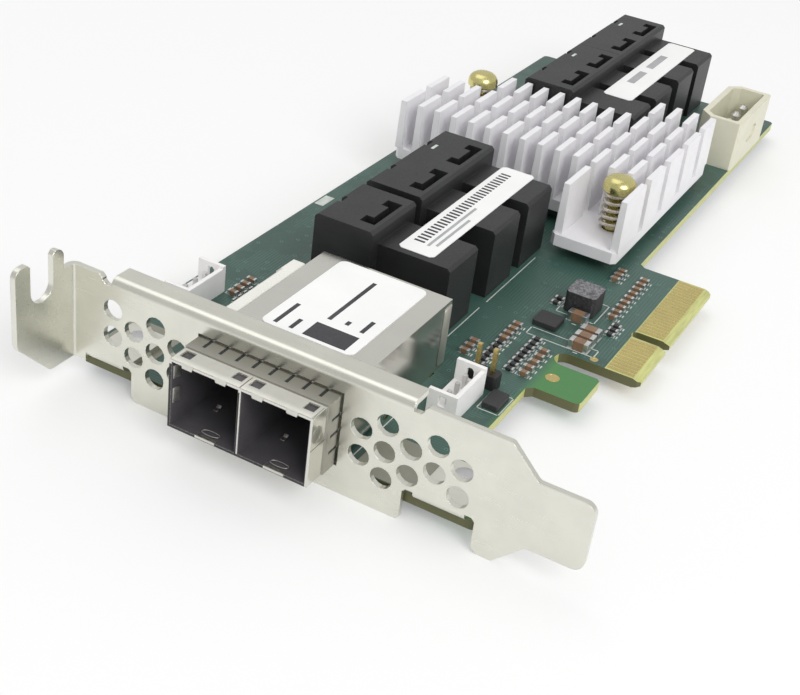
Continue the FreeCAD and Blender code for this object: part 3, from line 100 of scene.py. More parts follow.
PAD_MARGIN = Vector((0.12, 0.06, 0.0)) * MM
PAD_INSET = 0.05 * MM
PAD_CROWN = 0.02 * MM
JOINT_REACH = 0.45 * MM
JOINT_FOOT = 0.3
JOINT_TAPER = 0.55
STANDING = ["supply_coil", "regulator_chip", "switch_chip", "jumper_base", "sideband_header_left",
            "sideband_header_right", "heatsink_base", "port_cage", "light_guide", "power_connector",
            "edge_contacts_top"] + ["internal_connector_" + link for link in LINKS]

# Port cage
CAGE_FLOOR = 4.6
CAGE_WALL = 0.35 * MM
SIDE_GAP = 0.23 * MM
SHADE_LINER_SETBACK = 0.05 * MM
SHADE_LINER_REAR_GAP = 0.02 * MM
WINDOW = 1.6 * MM
WINDOW_SETBACK = 1.2 * MM
HEM_OVERLAP = 0.12 * MM
HEM_DEPTH = 3.1 * MM
HEM_TAB_SHARES = (0.24, 0.74)
HEM_TAB_HALF = 0.95 * MM
HEM_TAB_DROP = 0.62 * MM
HEM_TAB_TAPER = 0.8
HEM_EDGE = 0.04 * MM
HEM_TAB_EDGE = 0.05 * MM
RIM_SHADE_DEPTH = 0.02 * MM
LATCH_OFFSET = 0.5 * MM
LIP_HALF = 1.55 * MM
LIP_PROUD = 0.12 * MM
LIP_DEPTH = 0.45 * MM
LIP_DROP = 0.2 * MM
LIP_RISE = 0.2 * MM
LIP_RIM, LIP_SINK = 0.08 * MM, 0.05 * MM
LIP_EDGE = 0.04 * MM
LOOP_RADIUS = 1.0 * MM
LOOP_WIRE = 0.06 * MM
LOOP_STRETCH = (1.3, 0.4, 1.0)
LOOP_SETBACK = 1.15 * MM
LOOP_RISE = 0.3 * MM
LOOP_KINK = Vector((0.15, 0.2, 0.0)) * MM
FLOOR_TAB_PLACES = ((2.7, 6.0), (8.5, 5.6))
FLOOR_TAB_SIZE = Vector((0.7, 0.7, 0.12)) * MM
FLOOR_TAB_RISE = Vector((0.0, 0.35, 0.35)) * MM
STRIP_SETBACK = 0.35 * MM
STRIP_SPANS = ((3.6, 5.9), (7.4, 9.4))
STRIP_SHEET = 0.12 * MM
STRIP_RUN = 0.5 * MM
STRIP_BEND = (0.3 * MM, 0.6 * MM)
SPRING_EDGE = 0.03 * MM
SLIT_SHADE_MARGIN = 0.5 * MM
SEAM_PROUD = 0.02 * MM
SEAM_LEVEL = 5.5 * MM
SEAM_RUN = 3.5 * MM
SEAM_WIDTH = 0.09 * MM
SEAM_EDGE = 0.004 * MM
FOLD_SEAM = 0.14 * MM
REAR_FOLD = 2.3 * MM
REAR_FOLD_SHEET = 0.14 * MM
REAR_FOLD_END = 0.1 * MM
REAR_FOLD_DROP = 0.8 * MM
REAR_FOLD_CORNER = 0.8 * MM
REAR_FOLD_EDGE = 0.05 * MM
DIMPLE_SETBACK = 1.35 * MM
DIMPLE_LEVEL = 7.5 * MM
DIMPLE_RADIUS = 1.2 * MM
DIMPLE_PROUD = 0.06 * MM
DIMPLE_RIM, DIMPLE_SINK = 0.25 * MM, 0.04 * MM
DIMPLE_EDGE = 0.015 * MM

# Spring screws
HEAD_HEIGHT = 2.5 * MM
HEAD_RIM = 0.75 * MM
DOME_STEPS = 6
DOME_CROWN = 0.3
SHANK_RADIUS = 1.3 * MM
SHANK_OVERLAP = 0.2 * MM
COIL_RADIUS = 2.05 * MM
COIL_TURNS = 5
COIL_STEPS = 28

# Connector marks and labels: fields as shares of a label's width and length
DECK_MARK_SETBACK = 2.3 * MM
DECK_MARK_FROM_END = 7.6 * MM
DECK_MARK_HALF = Vector((0.275, 1.0, 0.02)) * MM
CAGE_LABEL_FIELDS = ((0.11, 0.04, 0.155, 0.32), (0.28, 0.04, 0.325, 0.17), (0.48, 0.28, 0.525, 0.86),
                     (0.66, 0.29, 0.705, 0.34), (0.84, 0.27, 0.885, 0.43), (0.44, 0.03, 0.90, 0.21))
FRONT_LABEL_BARS = 30
FRONT_BAR_SPAN = (0.16, 0.46)
FRONT_BAR_START = 0.09
FRONT_BAR_RUN = 0.85
FRONT_LABEL_FIELDS = ((0.56, 0.08, 0.64, 0.52), (0.74, 0.10, 0.82, 0.40))
REAR_LABEL_FIELDS = ((0.24, 0.24, 0.50, 0.44), (0.24, 0.52, 0.50, 0.76))

# Stage: lamps in metres, the aim and the camera's seat in bench millimetres
FLOOR_SIZE = 6.0
SKY_FRONT, SKY_REAR, SKY_BLEND = 0.93, 1.06, 0.7
AIM = (38.0, 80.0, 8.0)
KEY_PLACE, KEY_SIZE = Vector((0.72, -0.55, 0.74)), 0.6
FILL_PLACE, FILL_SIZE = Vector((-0.35, 0.05, 0.95)), 0.8
CAMERA_SEAT = (109.833, -128.149, 112.379)
CAMERA_AHEAD = Vector((-0.354953, 0.773010, -0.525798))
CAMERA_RIGHT = Vector((0.869760, 0.479287, 0.117478))
SENSOR_WIDTH = 36.0
NEAR_CLIP = 0.01

BENCH_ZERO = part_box("bracket")[0] + Vector((0.0, SCREW_TAB_DEPTH, 0.0))


def at(x, y, z=0.0):
    """A place on the bench in millimetres, as a point of the card's frame in metres."""
    return BENCH_ZERO + Vector((x, y, z)) * MM


def cage_floor():
    return at(0.0, 0.0, CAGE_FLOOR).z


def tint(name, description, default):
    return bpy.props.FloatVectorProperty(name=name, description=description, default=default,
                                         subtype="COLOR", size=3, min=0.0, max=1.0)


def number(name, description, default, **settings):
    return bpy.props.FloatProperty(name=name, description=description, default=default, min=0.0, **settings)


def length(name, description, default):
    return number(name, description, default, unit="LENGTH", precision=5)


class CardColours(bpy.types.PropertyGroup):
    """Colours of the card's finishes."""
    board: tint("Board", "Solder mask over the board", (0.042, 0.094, 0.076))
    board_clear: tint("Clear board", "Solder mask with no copper under it", (0.069, 0.223, 0.067))
    board_edge: tint("Board edge", "Bare laminate at the cut edge", (0.52, 0.53, 0.20))
    gold: tint("Gold", "Plated contacts and pads", (0.67, 0.535, 0.225))
    bracket: tint("Bracket", "Plated sheet of the bracket", (0.76, 0.755, 0.68))
    cage: tint("Cage", "Tinned sheet of the port cage", (0.72, 0.71, 0.655))
    hem: tint("Hem", "Brushed hems of the port cage", (0.70, 0.69, 0.63))
    gasket: tint("Gasket", "Spring collar round the port cage", (0.44, 0.43, 0.39))
    # Moulded black plastic; the same colour is painted shade on the sheets under the collar's slits and on
    # the mouths' cut edges.
    black: tint("Black", "Moulded black plastic", (0.018, 0.0185, 0.019))
    # Dark moulding of the port receptacles and the dark seams; the same colour is painted shade on the
    # sleeves in the bays.
    port_dark_and_shade: tint("Lining", "Dark lining of the ports", (0.085, 0.080, 0.087))
    sink: tint("Heatsink", "Bare extruded aluminium", (0.85, 0.84, 0.86))
    brass: tint("Brass", "Spring screws", (0.68, 0.62, 0.27))
    spring: tint("Spring", "Spring wire", (0.62, 0.58, 0.50))
    cream: tint("Cream", "Power connector", (0.72, 0.70, 0.56))
    guide: tint("Guide", "Pale rail beside the cage", (0.82, 0.82, 0.76))
    white: tint("White", "White headers", (0.90, 0.89, 0.88))
    paper: tint("Paper", "Stick-on labels", (0.92, 0.92, 0.91))
    ink: tint("Ink", "Bars on the labels", (0.045, 0.045, 0.05))
    faint: tint("Faint ink", "Pale fields on the labels", (0.42, 0.42, 0.43))
    print: tint("Board print", "White lines on the board", (0.62, 0.66, 0.62))
    steel: tint("Steel", "Screws and nuts", (0.56, 0.56, 0.56))
    tin: tint("Tin", "Solder and tinned pins", (0.70, 0.70, 0.69))
    # Painted shade: a darker tin than the solder, for pads that lie in shadow behind the bracket
    ground: tint("Ground", "Tinned pads by the bracket's ears", (0.36, 0.355, 0.30))
    chip: tint("Chip", "Moulded chip bodies", (0.030, 0.030, 0.032))
    tan: tint("Tan", "Ceramic capacitors", (0.25, 0.15, 0.09))
    coil: tint("Coil", "Pressed iron coil", (0.075, 0.075, 0.08))
    thermal: tint("Thermal pad", "Heat pad under the heatsink", (0.36, 0.38, 0.41))
    package: tint("Package", "Carrier of the expander chip", (0.06, 0.09, 0.07))
    floor: tint("Floor", "White studio floor", (0.93, 0.93, 0.93))


class CardSizes(bpy.types.PropertyGroup):
    """Sizes of the fine pieces."""
    # Painted shade: thickness of the dark sleeve laid over each bay's metal walls
    shade_liner: length("Liner wall", "Thickness of the black liner in each port", 0.12 * MM)
    hem: length("Hem", "Thickness of the folded hem over each port", 0.16 * MM)
    ink: length("Ink", "Height of printed lines and bars", 0.02 * MM)
    pad: length("Pad", "Height of solder pads", 0.04 * MM)
    joint: length("Solder joint", "Height of solder joints under the board", 0.45 * MM)
    line: length("Print line", "Width of a printed line on the board", 0.2 * MM)
    wire: length("Spring wire", "Diameter of the spring wire", 0.7 * MM)


class CardStage(bpy.types.PropertyGroup):
    """Camera and light."""
    lens: number("Lens", "Focal length", 61.88, unit="CAMERA")
    ambient: number("Ambient", "Light of the surroundings", 0.66)
    whiteness: number("Whiteness", "Share of plain white in the seen floor", 0.26, max=1.0)
    key: number("Key", "Power of the lamp beside the card", 6.3, unit="POWER")
    fill: number("Fill", "Power of the lamp over the card", 1.6, unit="POWER")


def colours():
    return bpy.context.scene.card_colours


def sizes():
    return bpy.context.scene.card_sizes


# Node helpers

def add(tree, kind, inputs=None, **settings):
    """One shader node; each input is a plain value, or another node's output to be linked."""
    node = tree.nodes.new("ShaderNode" + kind)
    for key, value in settings.items():
        setattr(node, key, value)
    for key, value in (inputs or {}).items():
        if isinstance(value, bpy.types.NodeSocket):
            tree.links.new(value, node.inputs[key])
        else:
            node.inputs[key].default_value = value
    return node


def start_material(name):
    material = bpy.data.materials.new(name)
    material.use_nodes = True
    tree = material.node_tree
    tree.nodes.clear()
    shader = add(tree, "BsdfPrincipled")
    add(tree, "OutputMaterial", {"Surface": shader.outputs["BSDF"]})
    return material, tree, shader


def spots(tree):
    return add(tree, "TexCoord").outputs["Object"]


def calc(tree, operation, a, b=0.0):
    return add(tree, "Math", {0: a, 1: b}, operation=operation).outputs[0]


def grain(tree, scale, stretch=(1.0, 1.0, 1.0), detail=3.0):
    """Noise with so many grains to the metre, drawn out along an axis by a small stretch."""
    placed = add(tree, "Mapping", {"Vector": spots(tree), "Scale": stretch})
    noise = add(tree, "TexNoise",
                {"Vector": placed.outputs[0], "Scale": scale, "Detail": detail, "Roughness": 0.6})
    return noise.outputs["Fac"]


def spread(tree, value, low, high, start=0.3, end=0.7):
    """A value between start and end taken to one between low and high."""
    ranged = add(tree, "MapRange",
                 {"Value": value, "From Min": start, "From Max": end, "To Min": low, "To Max": high})
    return ranged.outputs["Result"]


def blend(tree, factor, first, second):
    """Two colours mixed; each is a plain colour or another node's output."""
    return add(tree, "Mix", {0: factor, 6: first, 7: second}, data_type="RGBA").outputs[2]


def opaque(colour, share=1.0):
    """A colour with its alpha, made lighter or darker by a share."""
    return tuple(min(c * share, 1.0) for c in colour) + (1.0,)


def edge_share(tree, radius):
    """Softened normal near edges, and how near an edge a spot is, from 0 to 1."""
    soft = add(tree, "Bevel", {"Radius": radius}, samples=4).outputs[0]
    true = add(tree, "NewGeometry").outputs["Normal"]
    turned = add(tree, "VectorMath", {0: soft, 1: true}, operation="DOT_PRODUCT").outputs["Value"]
    return soft, spread(tree, turned, 1.0, 0.0, 0.80, 0.99)


def look(tree):
    """The way a face looks, as its three parts."""
    return add(tree, "SeparateXYZ", {0: add(tree, "TexCoord").outputs["Normal"]}).outputs


def picked(tree, cells, channel, level):
    """1 in the share of a pattern's cells whose random colour is over a level, 0 elsewhere."""
    colour = add(tree, "SeparateColor", {0: cells.outputs["Color"]})
    return calc(tree, "GREATER_THAN", colour.outputs[channel], level)


def relief(tree, shader, height, strength, depth, normal=None):
    inputs = {"Height": height, "Strength": strength, "Distance": depth}
    if normal is not None:
        inputs["Normal"] = normal
    tree.links.new(add(tree, "Bump", inputs).outputs[0], shader.inputs["Normal"])


# Finishes

def plain_finish(name, colour, rough, metal=0.0, vary=0.10, patch=180.0, fine=2600.0,
                 stretch=(1.0, 1.0, 1.0), bump=0.10, edge=0.14 * MM, worn=1.25, uneven=0.08):
    """A finish with patches of tone, uneven gloss, a fine grain and lighter worn edges."""
    material, tree, shader = start_material(name)
    patches = grain(tree, patch)
    fibres = grain(tree, fine, stretch)
    share = spread(tree, patches, 0.0, 1.0)
    tone = blend(tree, share, opaque(colour, 1 - vary), opaque(colour, 1 + vary))
    soft, near_edge = edge_share(tree, edge)
    rub = calc(tree, "MULTIPLY", near_edge, spread(tree, patches, 0.2, 0.7))
    tone = blend(tree, rub, tone, opaque(colour, worn))
    tree.links.new(tone, shader.inputs["Base Color"])
    tree.links.new(spread(tree, fibres, rough - uneven, rough + uneven), shader.inputs["Roughness"])
    shader.inputs["Metallic"].default_value = metal
    relief(tree, shader, fibres, bump, 0.02 * MM, soft)
    return material


def board_finish():
    """Green solder mask with faint tracks and covered vias, bare at the cut edges and among the contacts,
    with painted shade on the front cut edge.
    """
    material, tree, shader = start_material("solder_mask")
    mask, edge = colours().board, colours().board_edge
    here = add(tree, "SeparateXYZ", {0: spots(tree)}).outputs
    cells = add(tree, "TexVoronoi", {"Vector": spots(tree), "Scale": 170.0},
                distance="CHEBYCHEV", voronoi_dimensions="2D")
    across, along = (calc(tree, "FRACT", calc(tree, "MULTIPLY", here[i], TRACKS_A_METRE))
                     for i in range(2))
    run = add(tree, "Mix", {0: picked(tree, cells, 0, 0.5), 2: across, 3: along}).outputs[0]
    routed = calc(tree, "GREATER_THAN", grain(tree, 120.0), 0.47)
    track = calc(tree, "MULTIPLY", calc(tree, "LESS_THAN", run, TRACK_SHARE), routed)
    patches = spread(tree, grain(tree, 60.0), 0.0, 1.0)
    tone = blend(tree, patches, opaque(mask, 0.9), opaque(mask, 1.12))
    tone = blend(tree, track, tone, opaque(mask, 1.42))

    vias = add(tree, "TexVoronoi", {"Vector": spots(tree), "Scale": 400.0}, voronoi_dimensions="2D")
    chosen = picked(tree, vias, 1, 0.62)
    for reach, shade in VIA_RINGS:
        within = calc(tree, "LESS_THAN", vias.outputs["Distance"], reach)
        tone = blend(tree, calc(tree, "MULTIPLY", chosen, within), tone, opaque(mask, shade))

    clear = spread(tree, here[0], 0.0, 1.0, at(CLEAR_FADE[0], 0.0).x, at(CLEAR_FADE[1], 0.0).x)
    ahead = calc(tree, "LESS_THAN", here[1], at(0.0, CLEAR_REAR).y)
    clear = calc(tree, "MULTIPLY", clear, ahead)
    tone = blend(tree, clear, tone, opaque(colours().board_clear))

    way = look(tree)
    upright = calc(tree, "LESS_THAN", calc(tree, "ABSOLUTE", way[2]), 0.5)
    layers = spread(tree, grain(tree, 900.0, (0.2, 0.2, 6.0)), 0.0, 1.0)
    laminate = blend(tree, layers, opaque(edge, 0.8), opaque(edge, 1.2))
    # Painted shade: the cut edge that faces the front is darkened, as it lies in shadow under the bracket.
    front = calc(tree, "LESS_THAN", way[1], -0.5)
    laminate = blend(tree, front, laminate, opaque(edge, FRONT_EDGE_PAINTED_SHADE))
    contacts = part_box("edge_contacts_top")[0]
    among = calc(tree, "MULTIPLY", calc(tree, "GREATER_THAN", here[0], contacts.x - BARE_MARGIN),
                 calc(tree, "GREATER_THAN", here[1], contacts.y - BARE_REACH))
    bare = calc(tree, "MAXIMUM", upright, among)
    tree.links.new(blend(tree, bare, tone, laminate), shader.inputs["Base Color"])
    fine = grain(tree, 2200.0)
    tree.links.new(spread(tree, fine, 0.34, 0.46), shader.inputs["Roughness"])
    height = calc(tree, "ADD", calc(tree, "MULTIPLY", track, 0.6), calc(tree, "MULTIPLY", fine, 0.3))
    relief(tree, shader, height, 0.18, 0.03 * MM)
    return material


def coil_finish():
    """Pressed iron powder: dark sides and a ground grey top with light and dark specks."""
    material, tree, shader = start_material("pressed_iron")
    specks = spread(tree, grain(tree, 2600.0, detail=5.0), 0.0, 1.0, 0.40, 0.62)
    top = blend(tree, specks, opaque(colours().coil, 0.9), opaque(colours().coil, 3.6))
    side = blend(tree, specks, opaque(colours().coil, 0.25), opaque(colours().coil, 0.7))
    upward = calc(tree, "GREATER_THAN", look(tree)[2], 0.5)
    tone = blend(tree, upward, side, top)
    tree.links.new(tone, shader.inputs["Base Color"])
    tree.links.new(spread(tree, specks, 0.45, 0.7, 0.0, 1.0), shader.inputs["Roughness"])
    soft, _ = edge_share(tree, 0.25 * MM)
    relief(tree, shader, specks, 0.25, 0.03 * MM, soft)
    return material


def make_finishes():
    """Every finish of the card, by name."""
    c = colours()
    lengthwise = (1.0, 0.04, 1.0)
    crosswise = (0.05, 1.0, 1.0)
    return {
        "board": board_finish(),
        "gold": plain_finish("gold_plate", c.gold, 0.28, 1.0, vary=0.05, bump=0.015, edge=0.02 * MM,
                             uneven=0.03, worn=1.1),
        "bracket": plain_finish("bracket_plating", c.bracket, 0.31, 1.0, vary=0.04, stretch=crosswise,
                                bump=0.03, uneven=0.05),
        "cage": plain_finish("cage_tin", c.cage, 0.17, 1.0, vary=0.03, patch=120.0, bump=0.004,
                             edge=0.10 * MM, uneven=0.02),
        "hem": plain_finish("cage_hem", c.hem, 0.45, 1.0, vary=0.05, patch=300.0, bump=0.02, edge=0.06 * MM),
        "gasket": plain_finish("gasket_steel", c.gasket, 0.30, 1.0, vary=0.03, bump=0.0005, edge=0.04 * MM,
                               uneven=0.005, worn=1.1),
        "black": plain_finish("black_moulding_and_shade", c.black, 0.46, vary=0.2, fine=4200.0, bump=0.12, worn=1.8),
        "port_dark_and_shade": plain_finish("port_dark_and_painted_shade", c.port_dark_and_shade, 0.40, vary=0.2, fine=3000.0, bump=0.1),
        "sink": plain_finish("sink_aluminium", c.sink, 0.52, 0.05, vary=0.03, stretch=lengthwise, bump=0.05,
                             worn=1.05),
        "brass": plain_finish("screw_brass", c.brass, 0.26, 1.0, vary=0.10),
        "spring": plain_finish("spring_wire", c.spring, 0.30, 1.0, vary=0.10),
        "guide": plain_finish("guide_moulding", c.guide, 0.25, vary=0.03, fine=3000.0, bump=0.05, worn=1.05),
        "cream": plain_finish("cream_moulding", c.cream, 0.46, vary=0.04, fine=3600.0, bump=0.10, worn=1.08),
        "white": plain_finish("white_moulding", c.white, 0.45, vary=0.04, fine=3600.0, bump=0.10, worn=1.06),
        "paper": plain_finish("label_paper", c.paper, 0.62, vary=0.03, patch=90.0, bump=0.06, worn=1.04),
        "ink": plain_finish("label_ink", c.ink, 0.55, vary=0.25),
        "faint": plain_finish("label_grey", c.faint, 0.55, vary=0.10),
        "print": plain_finish("board_print", c.print, 0.55, vary=0.12, patch=600.0),
        "steel": plain_finish("screw_steel", c.steel, 0.33, 1.0, vary=0.10),
        "tin": plain_finish("solder_tin", c.tin, 0.34, 1.0, vary=0.12, patch=500.0, bump=0.2),
        # Painted shade: the ground pads' tin is darkened for their place in shadow behind the bracket.
        "ground": plain_finish("ground_tin_shaded", c.ground, 0.42, 1.0, vary=0.08, bump=0.03, edge=0.03 * MM,
                               uneven=0.05, worn=1.1),
        "chip": plain_finish("chip_moulding", c.chip, 0.52, vary=0.18, fine=5200.0, bump=0.2, worn=1.8),
        "tan": plain_finish("capacitor_ceramic", c.tan, 0.40, vary=0.22, patch=420.0, worn=1.4),
        "coil": coil_finish(),
        "thermal": plain_finish("thermal_pad", c.thermal, 0.75, vary=0.08),
        "package": plain_finish("chip_carrier", c.package, 0.45, vary=0.12),
    }


finishes = {}


# Modelling helpers

def deselect():
    if bpy.context.object and bpy.context.object.mode != "OBJECT":
        bpy.ops.object.mode_set(mode="OBJECT")
    bpy.ops.object.select_all(action="DESELECT")


def only(piece):
    """One piece selected and active, in object mode."""
    deselect()
    piece.select_set(True)
    bpy.context.view_layer.objects.active = piece


def lifted(place, level):
    """A place taken to a level."""
    return Vector((place.x, place.y, level))


def settle_place():
    bpy.ops.object.transform_apply(location=True, rotation=True, scale=True)
    return bpy.context.object


def start_block(low, high):
    """A block between two corners, selected and active."""
    deselect()
    bpy.ops.mesh.primitive_cube_add(size=1.0, location=(low + high) / 2)
    bpy.context.object.scale = high - low
    return settle_place()


def start_span(across, along, up):
    """A block over a span on each axis."""
    low, high = (Vector(corner) for corner in zip(across, along, up))
    return start_block(low, high)


def start_rod(middle, radius, depth, sides=32, turn=(0.0, 0.0, 0.0)):
    """A round rod, upright unless it is turned."""
    deselect()
    bpy.ops.mesh.primitive_cylinder_add(vertices=sides, radius=radius, depth=depth, location=middle,
                                        rotation=turn)
    return settle_place()


def pick(piece, kind, test):
    """Edit mode with the faces, edges or points selected whose middle and normal pass the test."""
    only(piece)
    bpy.ops.object.mode_set(mode="EDIT")
    bpy.ops.mesh.select_mode(type=kind)
    bpy.ops.mesh.select_all(action="DESELECT")
    bpy.ops.object.mode_set(mode="OBJECT")
    mesh = piece.data
    if kind == "FACE":
        for face in mesh.polygons:
            face.select = test(face.center, face.normal)
    elif kind == "EDGE":
        for edge in mesh.edges:
            ends = [mesh.vertices[i].co for i in edge.vertices]
            edge.select = test((ends[0] + ends[1]) / 2, (ends[1] - ends[0]).normalized())
    else:
        for point in mesh.vertices:
            point.select = test(point.co, point.normal)
    bpy.ops.object.mode_set(mode="EDIT")


def done():
    bpy.ops.object.mode_set(mode="OBJECT")


def facing(axis, way=1):
    """A test for faces that look along an axis."""
    return lambda place, normal: normal[axis] * way > STRAIGHT


def push(piece, test, by):
    """Chosen faces carried out by a step."""
    pick(piece, "FACE", test)
    bpy.ops.mesh.extrude_region_move(TRANSFORM_OT_translate={"value": by})
    done()


def taper(piece, test, rise, share, middle):
    """Chosen faces carried up or down, and narrowed round a middle."""
    pick(piece, "FACE", test)
    bpy.ops.mesh.extrude_region_move(TRANSFORM_OT_translate={"value": (0.0, 0.0, rise)})
    bpy.ops.transform.resize(value=(share, share, 1.0), center_override=(middle.x, middle.y, 0.0))
    done()


def round_edges(piece, test, radius, segments):
    """Chosen edges rounded."""
    pick(piece, "EDGE", test)
    bpy.ops.mesh.bevel(offset=radius, segments=segments, affect="EDGES")
    done()


def sink_face(piece, test, margin, depth):
    """Chosen faces inset by a margin and sunk by a depth."""
    pick(piece, "FACE", test)
    bpy.ops.mesh.inset(thickness=margin, depth=0.0)
    bpy.ops.mesh.inset(thickness=margin * 0.05, depth=-depth)
    done()


def finish_with(piece, kind, **settings):
    """A modifier set up and applied."""
    only(piece)
    modifier = piece.modifiers.new(kind.title(), kind)
    for key, value in settings.items():
        setattr(modifier, key, value)
    bpy.ops.object.modifier_apply(modifier=modifier.name)
    return piece


def rounded(piece, radius, segments=2):
    return finish_with(piece, "BEVEL", width=radius, segments=segments, limit_method="ANGLE")


def flat_mark(low, high):
    """A thin printed mark between two corners, its edges softened."""
    return rounded(start_block(low, high), sizes().ink * SOFT, 1)


def cut_away(piece, cutter):
    """A piece with another taken out of it."""
    finish_with(piece, "BOOLEAN", object=cutter, operation="DIFFERENCE", solver="EXACT")
    bpy.data.objects.remove(cutter, do_unlink=True)


def copied(piece, step):
    """A copy with its own mesh, moved by a step."""
    only(piece)
    bpy.ops.object.duplicate(linked=False)
    bpy.context.object.location = step
    return settle_place()


def joined(pieces):
    deselect()
    for piece in pieces:
        piece.select_set(True)
    bpy.context.view_layer.objects.active = pieces[0]
    if len(pieces) > 1:
        bpy.ops.object.join()
    return bpy.context.object


def settled(pieces, name, finish, angle=35.0):
    """Finished pieces made one, named, smoothed, painted, and fixed to the card."""
    piece = joined(pieces)
    bpy.ops.object.shade_smooth_by_angle(angle=math.radians(angle))
    piece.name = name
    piece.data.name = name
    piece.data.materials.clear()
    piece.data.materials.append(finishes[finish])
    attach(piece, "root")
    return piece


def paint(finish, *names):
    """A finish laid on CAD pieces."""
    for name in names:
        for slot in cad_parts[name].material_slots:
            slot.material = finishes[finish]


def islands(name):
    """Boxes of the separate solids of a CAD piece, as low and high corners."""
    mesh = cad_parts[name].data
    keys = [tuple(round(c, 6) for c in v.co) for v in mesh.vertices]
    solid = {key: {key} for key in keys}
    for face in mesh.polygons:
        whole = set().union(*(solid[keys[i]] for i in face.vertices))
        for key in whole:
            solid[key] = whole
    apart = {id(points): points for points in solid.values()}
    return [tuple(Vector([end(p[i] for p in points) for i in range(3)]) for end in (min, max))
            for points in apart.values()]


# Pieces

class CARD_OT_stage(bpy.types.Operator):
    """Set the floor, the soft light and the camera"""
    bl_idname = "card.stage"
    bl_label = "Stage"

    def execute(self, context):
        scene = context.scene
        scene.view_settings.view_transform = "Standard"
        stage = scene.card_stage
        deselect()
        bpy.ops.mesh.primitive_plane_add(size=FLOOR_SIZE, location=(0.0, 0.0, 0.0))
        floor = context.object
        floor.name = "floor"
        material, tree, shader = start_material("pale_floor")
        patches = spread(tree, grain(tree, 14.0), 0.0, 1.0)
        tone = blend(tree, patches, opaque(colours().floor, 0.995), opaque(colours().floor))
        tree.links.new(tone, shader.inputs["Base Color"])
        shader.inputs["Roughness"].default_value = 0.9
        shader.inputs["Specular IOR Level"].default_value = 0.0
        path = add(tree, "LightPath")
        seen = calc(tree, "MAXIMUM", path.outputs["Is Camera Ray"], path.outputs["Is Glossy Ray"])
        seen = calc(tree, "MAXIMUM", seen, path.outputs["Is Transmission Ray"])
        white = add(tree, "Emission", {"Color": (1.0, 1.0, 1.0, 1.0), "Strength": 1.0})
        share = calc(tree, "MULTIPLY", seen, stage.whiteness)
        mix = add(tree, "MixShader", {0: share, 1: shader.outputs[0], 2: white.outputs[0]})
        surface = next(node for node in tree.nodes if node.type == "OUTPUT_MATERIAL")
        tree.links.new(mix.outputs[0], surface.inputs["Surface"])
        floor.data.materials.append(material)

        world = bpy.data.worlds.new("studio")
        world.use_nodes = True
        scene.world = world
        tree = world.node_tree
        tree.nodes.clear()
        way = add(tree, "SeparateXYZ", {0: add(tree, "TexCoord").outputs["Generated"]})
        level = spread(tree, way.outputs[1], stage.ambient * SKY_FRONT, stage.ambient * SKY_REAR,
                       -SKY_BLEND, SKY_BLEND)
        sky = add(tree, "Background", {"Color": (1.0, 1.0, 1.0, 1.0), "Strength": level})
        add(tree, "OutputWorld", {"Surface": sky.outputs[0]})

        self.lamp("key_lamp", KEY_PLACE, stage.key, KEY_SIZE)
        self.lamp("fill_lamp", FILL_PLACE, stage.fill, FILL_SIZE)
        self.camera(scene, stage.lens)
        return {"FINISHED"}

    def lamp(self, name, place, power, size):
        light = bpy.data.lights.new(name, "AREA")
        light.energy = power
        light.size = size
        holder = bpy.data.objects.new(name, light)
        holder.location = place
        holder.rotation_euler = (at(*AIM) - place).to_track_quat("-Z", "Y").to_euler()
        bpy.context.collection.objects.link(holder)

    def camera(self, scene, lens):
        """A camera at the place, aim and roll from which the card was seen."""
        data = bpy.data.cameras.new("camera")
        data.lens = lens
        data.sensor_width = SENSOR_WIDTH
        data.sensor_fit = "HORIZONTAL"
        data.clip_start = NEAR_CLIP
        eye = bpy.data.objects.new("camera", data)
        up = CAMERA_RIGHT.cross(CAMERA_AHEAD)
        turn = Matrix((CAMERA_RIGHT, up, -CAMERA_AHEAD)).transposed().to_4x4()
        eye.matrix_world = Matrix.Translation(at(*CAMERA_SEAT)) @ turn
        bpy.context.collection.objects.link(eye)
        scene.camera = eye


